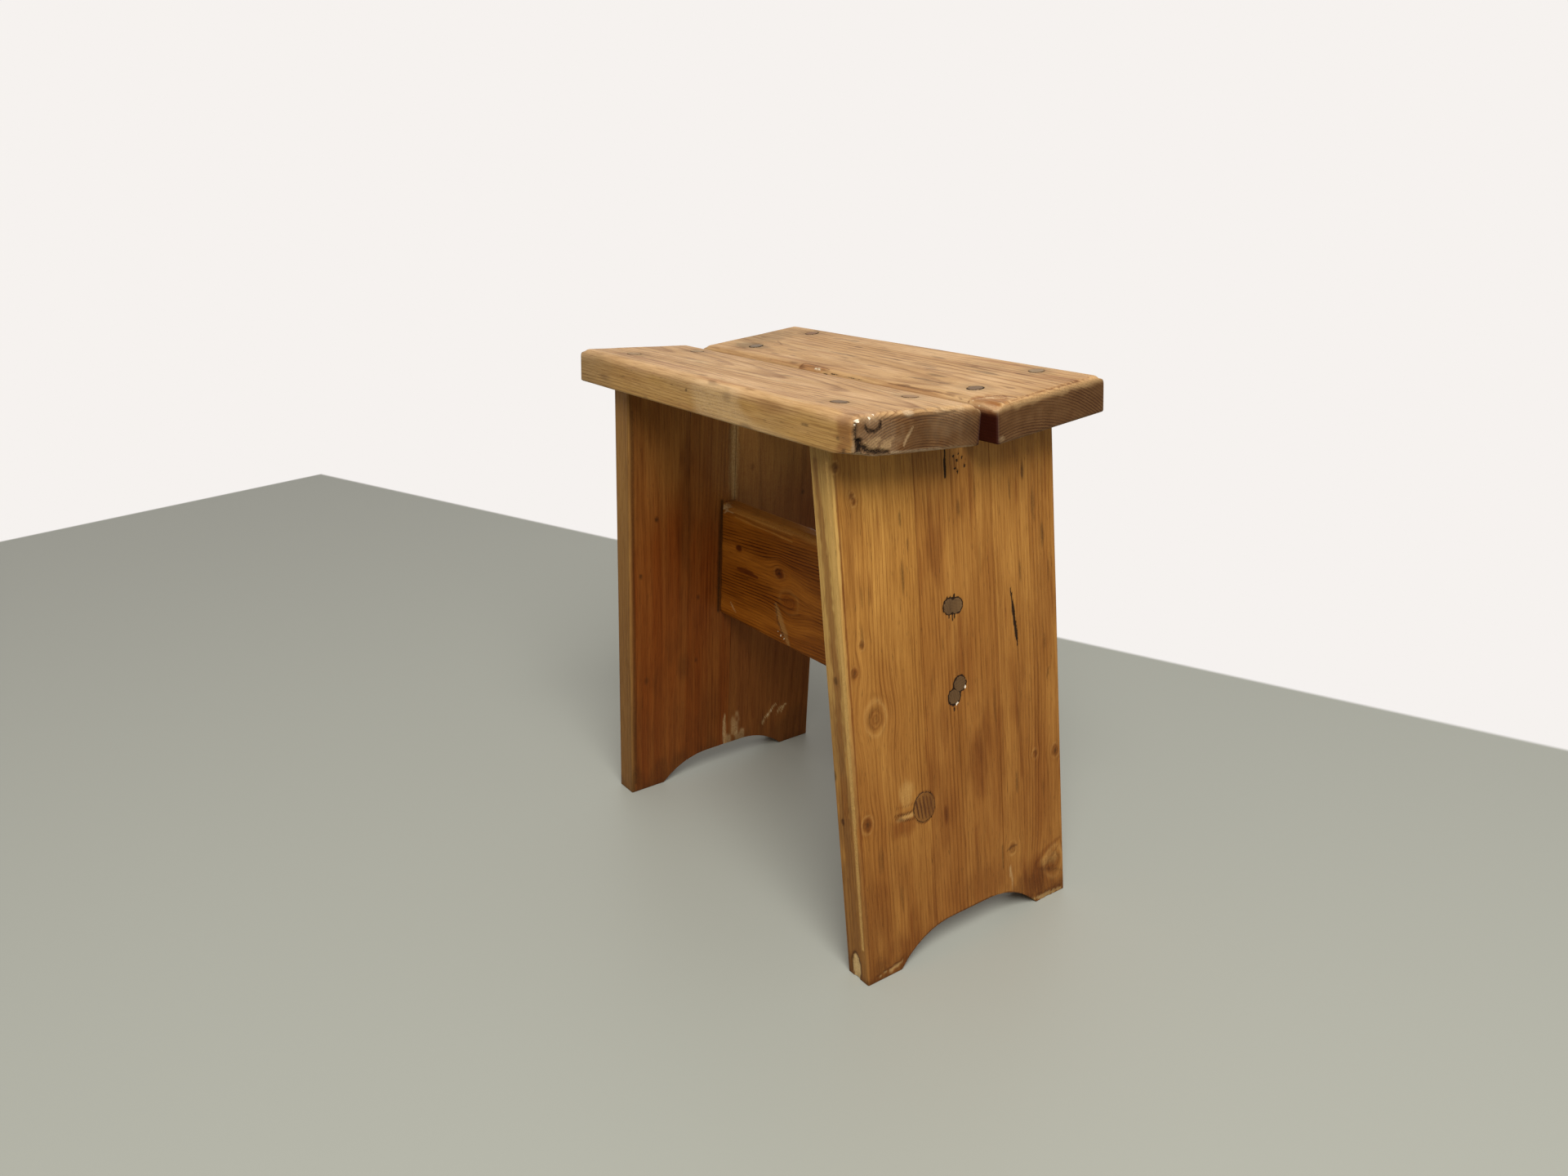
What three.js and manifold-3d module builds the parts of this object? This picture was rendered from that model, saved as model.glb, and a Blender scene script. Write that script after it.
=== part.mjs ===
// A pine stool: two seat boards in a shallow V on two splayed plank legs, with a stretcher between them.
// Millimetres, +Z up, +Y to the back. The origin is on the floor, under the middle of the seat.
import * as THREE from 'three';
import { mergeVertices } from 'three/addons/utils/BufferGeometryUtils.js';
import { ConvexGeometry } from 'three/addons/geometries/ConvexGeometry.js';
import Module from 'manifold-3d';

const wasm = await Module();
wasm.setup();

const degrees = Math.PI / 180;

// Seat boards: each rises outwards from the gap between them
const seatLength = 388;
const boardWidth = 111;
const boardThickness = 28.5;
const boardTopRound = 7;
const boardBottomRound = 2;
const boardCornerRound = 9;
const seatGap = 18.8;
const seatHeight = 400; // floor to the rear board's underside, at the gap
const frontLift = 2.5; // the front board's inner edge lies this much higher than the rear one's
const frontTilt = 3.9 * degrees;
const rearTilt = 4.8 * degrees;

// Legs: planks glued from three staves, leaning outwards to the floor
const legSetback = 12.4; // a board's outer edge to a leg's edge
const legThickness = 24.4;
const seatOverhang = 39.6; // seat's end to a leg's outer face, at seat height
const legSplay = 6.15 * degrees;
const legEdgeRound = 4;
const rightSeamShares = [0, 0.333, 0.68, 1];
const leftSeamShares = [0, 0.29, 0.522, 1];

// Arch under each leg: a flat crown between two round flanks
const archHeight = 24.2;
const archFlat = 40;
const archRadius = 72.7;

// Stretcher: a board on edge between the legs
const stretcherThickness = 18.3;
const stretcherBottom = 175.9;
const stretcherHeight = 113.5;
const stretcherTopRound = 5;
const stretcherBottomRound = 1.5;

// Countersunk wood screws under wooden plugs
const screwLength = 40;
const screwDiameter = 4.5;
const screwPoint = 7;
const headDiameter = 9;
const headHeight = 2.6;
const plugDiameter = 12;
const plugDepth = 8;
const frontScrewInsets = [21.1, 14.2]; // from the board's inner edge, and from the legs' edge
const rearScrewInsets = [28.3, 5.9];
const upperScrewHeight = 275;
const lowerScrewHeight = 213.5;
const stretcherScrewInset = 0.7; // towards the front, off the stretcher's middle

// Older plugs that the right leg's two newer plugs were bored into, as steps in plug diameters
const upperOldPlugShares = [-0.57, 0.07];
const lowerOldPlugShares = [-0.52, -0.75];

// Round patch let into the right leg where a loose knot was
const patchDiameter = 23;
const patchDepth = 10;
const patchAcross = 42.8; // in front of the leg's middle
const patchHeight = 125.8;

// Wear: how far each broken corner runs along, across and down its board
const wornCornerAlong = 46;
const wornCornerAcross = 92;
const wornCornerDepth = 6;
const chipAlong = 28;
const chipAcross = 17;
const chipDepth = 5;
const notchStart = 40; // from the board's middle, towards the left
const notchLength = 33;
const notchDepth = 6.5;
const notchHeight = 5.5;

// Clearances
const seating = 0.3; // under the seat, at the stretcher's ends and round the screws
const glueLine = 0.1; // between staves
const plugFit = 0.12; // round a plug, as radius
const overrun = 30; // how far a cutting shape runs past what it cuts

// Facets
const roundSteps = 3;
const arcSteps = 10;
const plugSides = 16;
const patchSides = 28;
const screwSides = 12;

const seatPine = { color: '#c39a69', roughness: 0.5, metalness: 0 };
const legPine = { color: '#b17d42', roughness: 0.42, metalness: 0 };
const stretcherPine = { color: '#9c6630', roughness: 0.42, metalness: 0 };
const patchPine = { color: '#8a5f33', roughness: 0.5, metalness: 0 };
const plugWood = { color: '#6d5a44', roughness: 0.6, metalness: 0 };
const screwSteel = { color: '#a3a19b', roughness: 0.4, metalness: 1 };

// Solids
function toSolid(geometry) {
  const bare = geometry.clone();
  bare.deleteAttribute('normal');
  bare.deleteAttribute('uv');
  const merged = mergeVertices(bare);
  const vertProperties = Float32Array.from(merged.attributes.position.array);
  const triVerts = Uint32Array.from(merged.index.array);
  return new wasm.Manifold(new wasm.Mesh({ numProp: 3, vertProperties, triVerts }));
}

function toGeometry(solid) {
  const mesh = solid.getMesh();
  const geometry = new THREE.BufferGeometry();
  geometry.setAttribute('position', new THREE.BufferAttribute(mesh.vertProperties, 3));
  geometry.setIndex(new THREE.BufferAttribute(mesh.triVerts, 1));
  geometry.computeVertexNormals();
  return geometry;
}

function cutAll(solid, tools) {
  return tools.reduce((rest, tool) => rest.subtract(tool), solid);
}

// A box between two corners
function boxBetween(low, high) {
  const size = new THREE.Vector3().subVectors(high, low);
  const middle = new THREE.Vector3().addVectors(low, high).multiplyScalar(0.5);
  return new THREE.BoxGeometry(size.x, size.y, size.z).translate(middle.x, middle.y, middle.z);
}

// An outline drawn in X and Y and raised from one level to another, with both rims rounded
function rimmedBlock(outline, bottom, top, round) {
  const block = new THREE.ExtrudeGeometry(outline, {
    depth: top - bottom - 2 * round,
    bevelSize: round,
    bevelThickness: round,
    bevelOffset: -round,
    bevelSegments: roundSteps,
    curveSegments: roundSteps,
  });
  return block.translate(0, 0, bottom + round);
}

// The same outline with another round at its top rim than at its bottom rim
function slab(outline, thickness, topRound, bottomRound) {
  const upper = toSolid(rimmedBlock(outline, -overrun, thickness, topRound));
  const lower = toSolid(rimmedBlock(outline, 0, thickness + overrun, bottomRound));
  return upper.intersect(lower);
}

function roundedRectangle(left, bottom, width, height, round) {
  const right = left + width;
  const top = bottom + height;
  const outline = new THREE.Shape();
  outline.moveTo(left + round, bottom);
  outline.lineTo(right - round, bottom);
  outline.absarc(right - round, bottom + round, round, -Math.PI / 2, 0);
  outline.lineTo(right, top - round);
  outline.absarc(right - round, top - round, round, 0, Math.PI / 2);
  outline.lineTo(left + round, top);
  outline.absarc(left + round, top - round, round, Math.PI / 2, Math.PI);
  outline.lineTo(left, bottom + round);
  outline.absarc(left + round, bottom + round, round, Math.PI, 1.5 * Math.PI);
  return outline;
}

// Stands a drawn outline up, so that it lies across (Y) and up (Z), and its thickness runs along X
function standUp(geometry) {
  const across = new THREE.Vector3(0, 1, 0);
  const up = new THREE.Vector3(0, 0, 1);
  const along = new THREE.Vector3(1, 0, 0);
  return geometry.applyMatrix4(new THREE.Matrix4().makeBasis(across, up, along));
}

// Turned shapes have their axis on Z and their outer end at zero
function turned(profile, sides) {
  const points = profile.map(([radius, level]) => new THREE.Vector2(radius, level));
  return new THREE.LatheGeometry(points, sides).rotateX(Math.PI / 2);
}

// Lays a turned shape along X with its outer end towards a leg's outside
function layOutwards(geometry, side) {
  return geometry.rotateY(side * Math.PI / 2);
}

// Cuts a corner off: the corner's place, the cut's run along X, Y and Z, and which way is outside
function cornerCut(corner, run, outside) {
  const step = (x, y, z) => new THREE.Vector3(x, y, z).add(corner);
  return toSolid(new ConvexGeometry([
    step(-outside.x * run.x, 0, 0),
    step(0, -outside.y * run.y, 0),
    step(0, 0, -outside.z * run.z),
    step(outside.x * overrun, outside.y * overrun, outside.z * overrun),
  ]));
}

// Where things lie
const legReach = seatLength / 2 - seatOverhang;
const legWidth = seatGap + 2 * (boardWidth - legSetback);
const headTop = -(plugDepth + seating);
const screwBite = screwLength - headTop - boardThickness;
const legMiddle = legReach - legThickness / 2 / Math.cos(legSplay);
const seatScrewAlong = legMiddle + Math.tan(legSplay) * screwBite / 2;
const legFloor = -seatHeight / Math.cos(legSplay);

const boards = [
  { name: 'front', side: -1, tilt: frontTilt, height: seatHeight + frontLift, insets: frontScrewInsets },
  { name: 'rear', side: 1, tilt: rearTilt, height: seatHeight, insets: rearScrewInsets },
];

const legs = [
  { name: 'left', side: -1, seamShares: leftSeamShares },
  { name: 'right', side: 1, seamShares: rightSeamShares },
];

// A board's own zero is the middle of its inner bottom edge
function boardPlace(board) {
  const turn = new THREE.Matrix4().makeRotationX(board.side * board.tilt);
  return turn.setPosition(0, board.side * seatGap / 2, board.height);
}

// A leg's own zero is the middle of its outer face, at seat height
function legPlace(leg) {
  const turn = new THREE.Matrix4().makeRotationY(-leg.side * legSplay);
  return turn.setPosition(leg.side * legReach, 0, seatHeight);
}

// Moves a shape from one place's own frame into another's
function carry(geometry, from, to) {
  return geometry.applyMatrix4(from).applyMatrix4(to.clone().invert());
}

const world = new THREE.Matrix4();

// Screws, plugs and the holes they sit in
function screwShape() {
  return turned([
    [0, headTop - screwLength],
    [screwDiameter / 2, headTop - screwLength + screwPoint],
    [screwDiameter / 2, headTop - headHeight],
    [headDiameter / 2, headTop],
    [0, headTop],
  ], screwSides);
}

function screwHole() {
  const shank = screwDiameter / 2 + seating;
  const head = headDiameter / 2 + seating;
  const bore = plugDiameter / 2 + plugFit;
  return turned([
    [0, headTop - screwLength - seating],
    [shank, headTop - screwLength - seating],
    [shank, headTop - headHeight - seating],
    [head, headTop - seating],
    [head, headTop],
    [bore, headTop],
    [bore, overrun],
    [0, overrun],
  ], plugSides);
}

const screwPlug = { diameter: plugDiameter, depth: plugDepth, sides: plugSides };
const knotPatch = { diameter: patchDiameter, depth: patchDepth, sides: patchSides };

function plugShape({ diameter, depth, sides }) {
  return turned([[0, -depth], [diameter / 2, -depth], [diameter / 2, 0], [0, 0]], sides);
}

function plugHole({ diameter, depth, sides }) {
  const bore = diameter / 2 + plugFit;
  return turned([[0, -depth - seating], [bore, -depth - seating], [bore, overrun], [0, overrun]], sides);
}

function seatScrews(board) {
  const [inner, outer] = board.insets;
  const places = { inner, outer: boardWidth - legSetback - outer };
  return legs.flatMap((leg) => Object.entries(places).map(([name, across]) => ({
    name: `${board.name}_${leg.name}_${name}`,
    at: new THREE.Vector3(leg.side * seatScrewAlong, board.side * across, boardThickness),
  })));
}

// A height above the floor, on a leg's outer face, as a place in the leg's own frame
function onLeg(across, height) {
  return new THREE.Vector3(0, across, (height - seatHeight) / Math.cos(legSplay));
}

function stretcherScrews() {
  return [
    { name: 'upper', at: onLeg(-stretcherScrewInset, upperScrewHeight), oldShares: upperOldPlugShares },
    { name: 'lower', at: onLeg(-stretcherScrewInset, lowerScrewHeight), oldShares: lowerOldPlugShares },
  ];
}

function oldPlugPlace(screw) {
  const [across, up] = screw.oldShares;
  return screw.at.clone().add(new THREE.Vector3(0, across * plugDiameter, up * plugDiameter));
}

const patchPlace = onLeg(-patchAcross, patchHeight);

function placed(geometry, at) {
  return geometry.translate(at.x, at.y, at.z);
}

// Seat board
function boardSolid(board) {
  const start = board.side > 0 ? 0 : -boardWidth;
  const outline = roundedRectangle(-seatLength / 2, start, seatLength, boardWidth, boardCornerRound);
  const holes = seatScrews(board).map((screw) => toSolid(placed(screwHole(), screw.at)));
  return cutAll(slab(outline, boardThickness, boardTopRound, boardBottomRound), holes);
}

// The front board's right end is worn away under its outer corner
function wornCorner() {
  const corner = new THREE.Vector3(seatLength / 2, -boardWidth, 0);
  const run = new THREE.Vector3(wornCornerAlong, wornCornerAcross, wornCornerDepth);
  return cornerCut(corner, run, new THREE.Vector3(1, -1, -1));
}

// The rear board has lost a chip from its right end, at the gap
function cornerChip() {
  const corner = new THREE.Vector3(seatLength / 2, 0, boardThickness);
  const run = new THREE.Vector3(chipAlong, chipAcross, chipDepth);
  return cornerCut(corner, run, new THREE.Vector3(1, -1, 1));
}

// A splinter is gone from the rear board's upper edge: steep at the left, running out at the right
function edgeNotch() {
  const left = -notchStart;
  const right = notchLength - notchStart;
  const floor = boardThickness - notchHeight;
  const sky = boardThickness + overrun;
  const points = [
    [left, -overrun, floor], [left, 0, floor], [left, notchDepth, boardThickness],
    [left, notchDepth, sky], [left, -overrun, sky], [right, -overrun, sky],
    [right, -overrun, boardThickness], [right, 0, boardThickness],
  ];
  return toSolid(new ConvexGeometry(points.map((point) => new THREE.Vector3(...point))));
}

// Leg panel, before it is sawn into staves
function panelSolid(leg) {
  const low = leg.side > 0 ? -legThickness : 0;
  const bottom = legFloor - overrun;
  const height = 2 * overrun - legFloor;
  const outline = roundedRectangle(-legWidth / 2, bottom, legWidth, height, 2 * legEdgeRound);
  const blank = toSolid(standUp(rimmedBlock(outline, low, low + legThickness, legEdgeRound)));
  return cutAll(blank, [floorTool(leg), archTool(), ...boards.map((board) => undersideTool(board, leg))]);
}

// All that lies under the floor
function floorTool(leg) {
  const low = new THREE.Vector3(-seatLength, -legWidth, -2 * overrun);
  const high = new THREE.Vector3(seatLength, legWidth, 0);
  return toSolid(carry(boxBetween(low, high), world, legPlace(leg)));
}

// All that lies above a board's underside, on its own side of the gap's middle
function undersideTool(board, leg) {
  const inner = -board.side * seatGap / 2;
  const outer = board.side * (boardWidth + overrun);
  const low = new THREE.Vector3(-seatLength, Math.min(inner, outer), -seating);
  const high = new THREE.Vector3(seatLength, Math.max(inner, outer), 2 * overrun);
  return toSolid(carry(boxBetween(low, high), boardPlace(board), legPlace(leg)));
}

function archTool() {
  const half = archFlat / 2;
  const centre = legFloor + archHeight - archRadius;
  const start = Math.asin((archRadius - archHeight - overrun) / archRadius);
  const outline = new THREE.Shape();
  outline.absarc(half, centre, archRadius, start, Math.PI / 2);
  outline.absarc(-half, centre, archRadius, Math.PI / 2, Math.PI - start);
  const arch = new THREE.ExtrudeGeometry(outline, {
    depth: 2 * (legThickness + overrun),
    bevelEnabled: false,
    curveSegments: arcSteps,
  });
  return toSolid(standUp(arch.translate(0, 0, -legThickness - overrun)));
}

// All that is bored into a leg: both kinds of screw, and the right leg's old plugs and patch
function legBores(leg) {
  const place = legPlace(leg);
  const fromSeat = boards.flatMap((board) => seatScrews(board).map((screw) => {
    return toSolid(carry(placed(screwHole(), screw.at), boardPlace(board), place));
  }));
  const fromSide = stretcherScrews().map((screw) => {
    return toSolid(placed(layOutwards(screwHole(), leg.side), screw.at));
  });
  const older = stretcherScrews().map((screw) => {
    return toSolid(placed(layOutwards(plugHole(screwPlug), leg.side), oldPlugPlace(screw)));
  });
  const patch = toSolid(placed(layOutwards(plugHole(knotPatch), leg.side), patchPlace));
  return leg.side > 0 ? [...fromSeat, ...fromSide, ...older, patch] : [...fromSeat, ...fromSide];
}

// One stave of a panel, between two seams
function staveSolid(panel, fromShare, toShare) {
  const from = (fromShare - 0.5) * legWidth;
  const to = (toShare - 0.5) * legWidth;
  const front = fromShare > 0 ? from + glueLine / 2 : from - overrun;
  const back = toShare < 1 ? to - glueLine / 2 : to + overrun;
  const low = new THREE.Vector3(-overrun, front, legFloor - overrun);
  const high = new THREE.Vector3(overrun, back, overrun);
  return panel.intersect(toSolid(boxBetween(low, high)));
}

// Stretcher, cut at both ends to the legs' inner faces
function stretcherSolid() {
  const left = -stretcherThickness / 2;
  const height = stretcherHeight + overrun;
  const topRim = roundedRectangle(left, -overrun, stretcherThickness, height, stretcherTopRound);
  const lowRim = roundedRectangle(left, 0, stretcherThickness, height, stretcherBottomRound);
  const [upper, lower] = [topRim, lowRim].map((outline) => {
    const bar = new THREE.ExtrudeGeometry(outline, {
      depth: seatLength,
      bevelEnabled: false,
      curveSegments: roundSteps,
    });
    return toSolid(standUp(bar.translate(0, 0, -seatLength / 2)).translate(0, 0, stretcherBottom));
  });
  const ends = legs.map((leg) => {
    const inner = -leg.side * (legThickness + seating);
    const outer = leg.side * seatLength;
    const low = new THREE.Vector3(Math.min(inner, outer), -legWidth, -seatHeight);
    const high = new THREE.Vector3(Math.max(inner, outer), legWidth, seatHeight);
    return toSolid(carry(boxBetween(low, high), legPlace(leg), world));
  });
  const bores = legs.flatMap((leg) => stretcherScrews().map((screw) => {
    return toSolid(carry(placed(layOutwards(screwHole(), leg.side), screw.at), legPlace(leg), world));
  }));
  return cutAll(upper.intersect(lower), [...ends, ...bores]);
}

// The scene
function addPiece(parent, name, geometry, finish) {
  const piece = new THREE.Mesh(geometry, new THREE.MeshStandardMaterial(finish));
  piece.name = name;
  parent.add(piece);
}

function groupAt(place) {
  const group = new THREE.Group();
  group.applyMatrix4(place);
  return group;
}

function makeSeat(board) {
  const group = groupAt(boardPlace(board));
  const wear = board.side > 0 ? [cornerChip(), edgeNotch()] : [wornCorner()];
  addPiece(group, `seat_board_${board.name}`, toGeometry(cutAll(boardSolid(board), wear)), seatPine);
  for (const screw of seatScrews(board)) {
    addPiece(group, `seat_screw_${screw.name}`, placed(screwShape(), screw.at), screwSteel);
    addPiece(group, `seat_plug_${screw.name}`, placed(plugShape(screwPlug), screw.at), plugWood);
  }
  return group;
}

function makeLeg(leg) {
  const group = groupAt(legPlace(leg));
  const panel = cutAll(panelSolid(leg), legBores(leg));
  ['front', 'middle', 'rear'].forEach((name, index) => {
    const stave = staveSolid(panel, leg.seamShares[index], leg.seamShares[index + 1]);
    addPiece(group, `${leg.name}_leg_stave_${name}`, toGeometry(stave), legPine);
  });
  for (const screw of stretcherScrews()) {
    const screwPiece = placed(layOutwards(screwShape(), leg.side), screw.at);
    const plugPiece = placed(layOutwards(plugShape(screwPlug), leg.side), screw.at);
    addPiece(group, `${leg.name}_stretcher_screw_${screw.name}`, screwPiece, screwSteel);
    addPiece(group, `${leg.name}_stretcher_plug_${screw.name}`, plugPiece, plugWood);
  }
  return group;
}

// The right leg's older plugs, each bitten into by the newer plug's bore, and its knot patch
function addRepairs(group, leg) {
  for (const screw of stretcherScrews()) {
    const whole = placed(layOutwards(plugShape(screwPlug), leg.side), oldPlugPlace(screw));
    const bite = placed(layOutwards(plugHole(screwPlug), leg.side), screw.at);
    const rest = toGeometry(toSolid(whole).subtract(toSolid(bite)));
    addPiece(group, `right_old_plug_${screw.name}`, rest, plugWood);
  }
  const patch = placed(layOutwards(plugShape(knotPatch), leg.side), patchPlace);
  addPiece(group, 'right_leg_knot_patch', patch, patchPine);
}

const stool = new THREE.Group();
for (const board of boards) {
  stool.add(makeSeat(board));
}
for (const leg of legs) {
  const group = makeLeg(leg);
  if (leg.side > 0) {
    addRepairs(group, leg);
  }
  stool.add(group);
}
addPiece(stool, 'stretcher', toGeometry(stretcherSolid()), stretcherPine);

export default stool;
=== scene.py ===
"""Pine stool: the finished surfaces of every piece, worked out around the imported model.

Shapes are worked out in millimetres, in each piece's own directions: across it, through its thickness and along
its grain. They are turned into the stool's frame and into metres only when a mesh is filled.
"""
import logging
import math
from abc import ABC, abstractmethod
from dataclasses import dataclass
from enum import Enum
from itertools import product

import bpy
import numpy as np
from mathutils import Matrix, Vector


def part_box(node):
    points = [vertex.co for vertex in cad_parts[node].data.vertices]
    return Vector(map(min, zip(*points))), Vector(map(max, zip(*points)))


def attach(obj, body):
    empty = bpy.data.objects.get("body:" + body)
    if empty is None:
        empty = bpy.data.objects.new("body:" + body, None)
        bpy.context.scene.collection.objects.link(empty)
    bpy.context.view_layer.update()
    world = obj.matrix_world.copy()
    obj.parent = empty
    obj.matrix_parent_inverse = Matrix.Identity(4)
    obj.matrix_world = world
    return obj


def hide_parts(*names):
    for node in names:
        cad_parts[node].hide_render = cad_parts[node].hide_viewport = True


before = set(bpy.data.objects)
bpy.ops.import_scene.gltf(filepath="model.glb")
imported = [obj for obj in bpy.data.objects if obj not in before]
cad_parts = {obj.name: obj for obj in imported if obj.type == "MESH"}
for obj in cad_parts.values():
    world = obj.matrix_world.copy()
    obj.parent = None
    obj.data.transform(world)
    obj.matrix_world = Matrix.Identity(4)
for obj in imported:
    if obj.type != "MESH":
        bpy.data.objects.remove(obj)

log = logging.getLogger("stool")

MM = 0.001
ACROSS, THROUGH, ALONG = 0, 1, 2

Place = tuple[float, float, float]


class Mask(Enum):
    """What a surface carries besides plain wood, as an attribute from 0 to 1."""

    GOLD = "gold"  # yellow sapwood
    WARM = "warm"  # reddish heartwood and resin, and painted shade on the legs' inner faces and in the seat's gap
    GREY = "grey"  # weathered and handled, and painted shade under the seat
    END = "end"  # end grain, which drank more of the finish
    RUB_AND_HIGHLIGHT = "rub_and_highlight"  # arrises rubbed bright, and painted highlights on rounded arrises and round knots
    PALE = "pale"  # bruised or torn
    DARK = "dark"  # knots and dirt, with soft edges, and painted shade under the seat and along the stretcher's joints
    GAP_SHADE = "gap_shade"  # painted shade deep in the gap between the seat boards, dark red
    CRACK = "crack"  # open cracks and rims, with ragged edges
    FLECK = "fleck"  # chips of bare wood and old filler, with ragged edges


Tones = tuple[tuple[Mask, float], ...]
GOLD, WARM, GREY, END, RUB_AND_HIGHLIGHT, PALE, DARK, GAP_SHADE, CRACK, FLECK = Mask
GRIME: Tones = ((CRACK, 1.0), (DARK, 0.4))


def linear(colour: str) -> tuple[float, float, float, float]:
    """Turns an sRGB hex colour into the linear one that shaders take.

    Args:
        colour: such as "#c39a69".

    Returns:
        Red, green, blue and 1.
    """
    parts = [int(colour[i:i + 2], 16) / 255 for i in (1, 3, 5)]
    red, green, blue = ((c / 12.92) if c <= 0.04045 else ((c + 0.055) / 1.055) ** 2.4 for c in parts)
    return red, green, blue, 1.0


def smooth(value: np.ndarray) -> np.ndarray:
    """Eases 0 to 1 with a flat start and end: 3v² - 2v³, held outside that range."""
    held = np.clip(value, 0, 1)
    return held * held * (3 - 2 * held)


class SoftNoise:
    """Smooth noise from -1 to 1: seeded values on a lattice, eased between along each axis."""

    SIZE = 32

    def __init__(self, seed: int) -> None:
        """Fills the lattice.

        Args:
            seed: makes the same noise on each run.
        """
        self.lattice = np.random.default_rng(seed).uniform(-1, 1, (self.SIZE,) * 3)

    def __call__(self, places: np.ndarray, cell: Place) -> np.ndarray:
        """Reads the noise.

        Args:
            places: points, one in each row.
            cell: the lattice's spacing along each axis, in the points' unit.

        Returns:
            One value for each point.
        """
        scaled = places / np.asarray(cell)
        base = np.floor(scaled).astype(int)
        share = smooth(scaled - base)
        total = np.zeros(len(places))
        for corner in product((0, 1), repeat=3):
            weight = np.prod(np.where(corner, share, 1 - share), axis=1)
            i, j, k = ((base + corner) % self.SIZE).T
            total += weight * self.lattice[i, j, k]
        return total


class Skin:
    """The surface points of one piece, and what is painted and carved on them."""

    def __init__(self, local: np.ndarray, seed: int) -> None:
        """Starts with bare wood.

        Args:
            local: points across, through and along the piece, in millimetres.
            seed: for the piece's noise.
        """
        self.local = local
        self.bent = local.copy()  # where growth rings are read, once knots have pushed the grain aside
        self.depth = np.zeros(len(local))
        self.masks = {mask: np.zeros(len(local)) for mask in Mask}
        self.noise = SoftNoise(seed)
        self.bent[:, ACROSS] += 2.5 * self.noise(local + 200, (60.0, 60.0, 160.0))

    def paint(self, tones: Tones, amount: np.ndarray, depth: float = 0.0) -> None:
        """Lays tones over what is there, each mask becoming 1 - (1 - old)(1 - new), and sinks the surface.

        Args:
            tones: how strongly each mask is laid.
            amount: how much of the mark each point gets.
            depth: how deep a full mark is, in millimetres.
        """
        for mask, tone in tones:
            self.masks[mask] = 1 - (1 - self.masks[mask]) * (1 - np.clip(amount * tone, 0, 1))
        self.depth += depth * amount


class Mark(ABC):
    """Something that the tree, the maker or use left on a piece."""

    @abstractmethod
    def lay_on(self, skin: Skin) -> None:
        """Paints and carves the mark on a skin."""


@dataclass(frozen=True)
class Tint(Mark):
    """A tone over a whole piece."""

    tones: Tones

    def lay_on(self, skin: Skin) -> None:
        """Paints every point alike."""
        skin.paint(self.tones, np.ones(len(skin.local)))


@dataclass(frozen=True)
class Spot(Mark):
    """A soft or ragged spot: full inside an ellipsoid, fading over its edge share."""

    place: Place
    size: Place
    tones: Tones
    depth: float = 0.0
    edge: float = 0.6
    ragged: float = 0.0
    cell: float = 3.0

    def lay_on(self, skin: Skin) -> None:
        """Measures each point's distance in the ellipsoid's own radii, roughened by noise."""
        away = np.linalg.norm((skin.local - self.place) / self.size, axis=1)
        away += self.ragged * skin.noise(skin.local, (self.cell, self.cell, 2.5 * self.cell))
        amount = smooth((1 + self.edge / 2 - away) / self.edge)
        skin.paint(self.tones, amount, self.depth)


@dataclass(frozen=True)
class Line(Mark):
    """A crack, scratch or seam of colour along a chain of points, thinning to its ends."""

    points: tuple[Place, ...]
    width: float
    tones: Tones
    depth: float = 0.0
    taper: float = 0.6
    ragged: float = 0.3

    def lay_on(self, skin: Skin) -> None:
        """Takes each point's least distance to the chain, in half widths at the nearest place."""
        chain = np.asarray(self.points, float)
        steps = np.diff(chain, axis=0)
        lengths = np.linalg.norm(steps, axis=1)
        nearest = np.full(len(skin.local), np.inf)
        share = np.zeros(len(skin.local))
        passed = 0.0
        for start, step, length in zip(chain[:-1], steps, lengths):
            along = np.clip((skin.local - start) @ step / length**2, 0, 1)
            away = np.linalg.norm(skin.local - start - along[:, None] * step, axis=1)
            closer = away < nearest
            nearest = np.where(closer, away, nearest)
            share = np.where(closer, (passed + along * length) / lengths.sum(), share)
            passed += length
        half = self.width / 2 * (1 - self.taper * (2 * share - 1) ** 2)
        half *= np.maximum(1 + self.ragged * skin.noise(skin.local, (2.0, 2.0, 5.0)), 0.05)
        amount = smooth(1.6 - nearest / half)
        skin.paint(self.tones, amount, self.depth)


@dataclass(frozen=True)
class Fade(Mark):
    """A tone over a region: each limit is an axis, where the tone is none and where it is full."""

    limits: tuple[tuple[int, float, float], ...]
    tones: Tones
    ragged: float = 0.0
    cell: Place = (6.0, 6.0, 20.0)

    def lay_on(self, skin: Skin) -> None:
        """Multiplies the limits' eased shares."""
        amount = np.ones(len(skin.local))
        stir = self.ragged * skin.noise(skin.local, self.cell)
        for axis, none, full in self.limits:
            amount *= smooth((skin.local[:, axis] - none) / (full - none) + stir)
        skin.paint(self.tones, amount)


@dataclass(frozen=True)
class Cloud(Mark):
    """Noise all over but on end grain: a tone wherever a noise of the given cell passes a level."""

    cell: Place
    level: float
    soft: float
    tones: Tones
    shift: float = 0.0

    def lay_on(self, skin: Skin) -> None:
        """Eases the noise's excess over the level."""
        amount = smooth((skin.noise(skin.local + self.shift, self.cell) - self.level) / self.soft)
        amount *= 1 - skin.masks[END]
        skin.paint(self.tones, amount)


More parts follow.
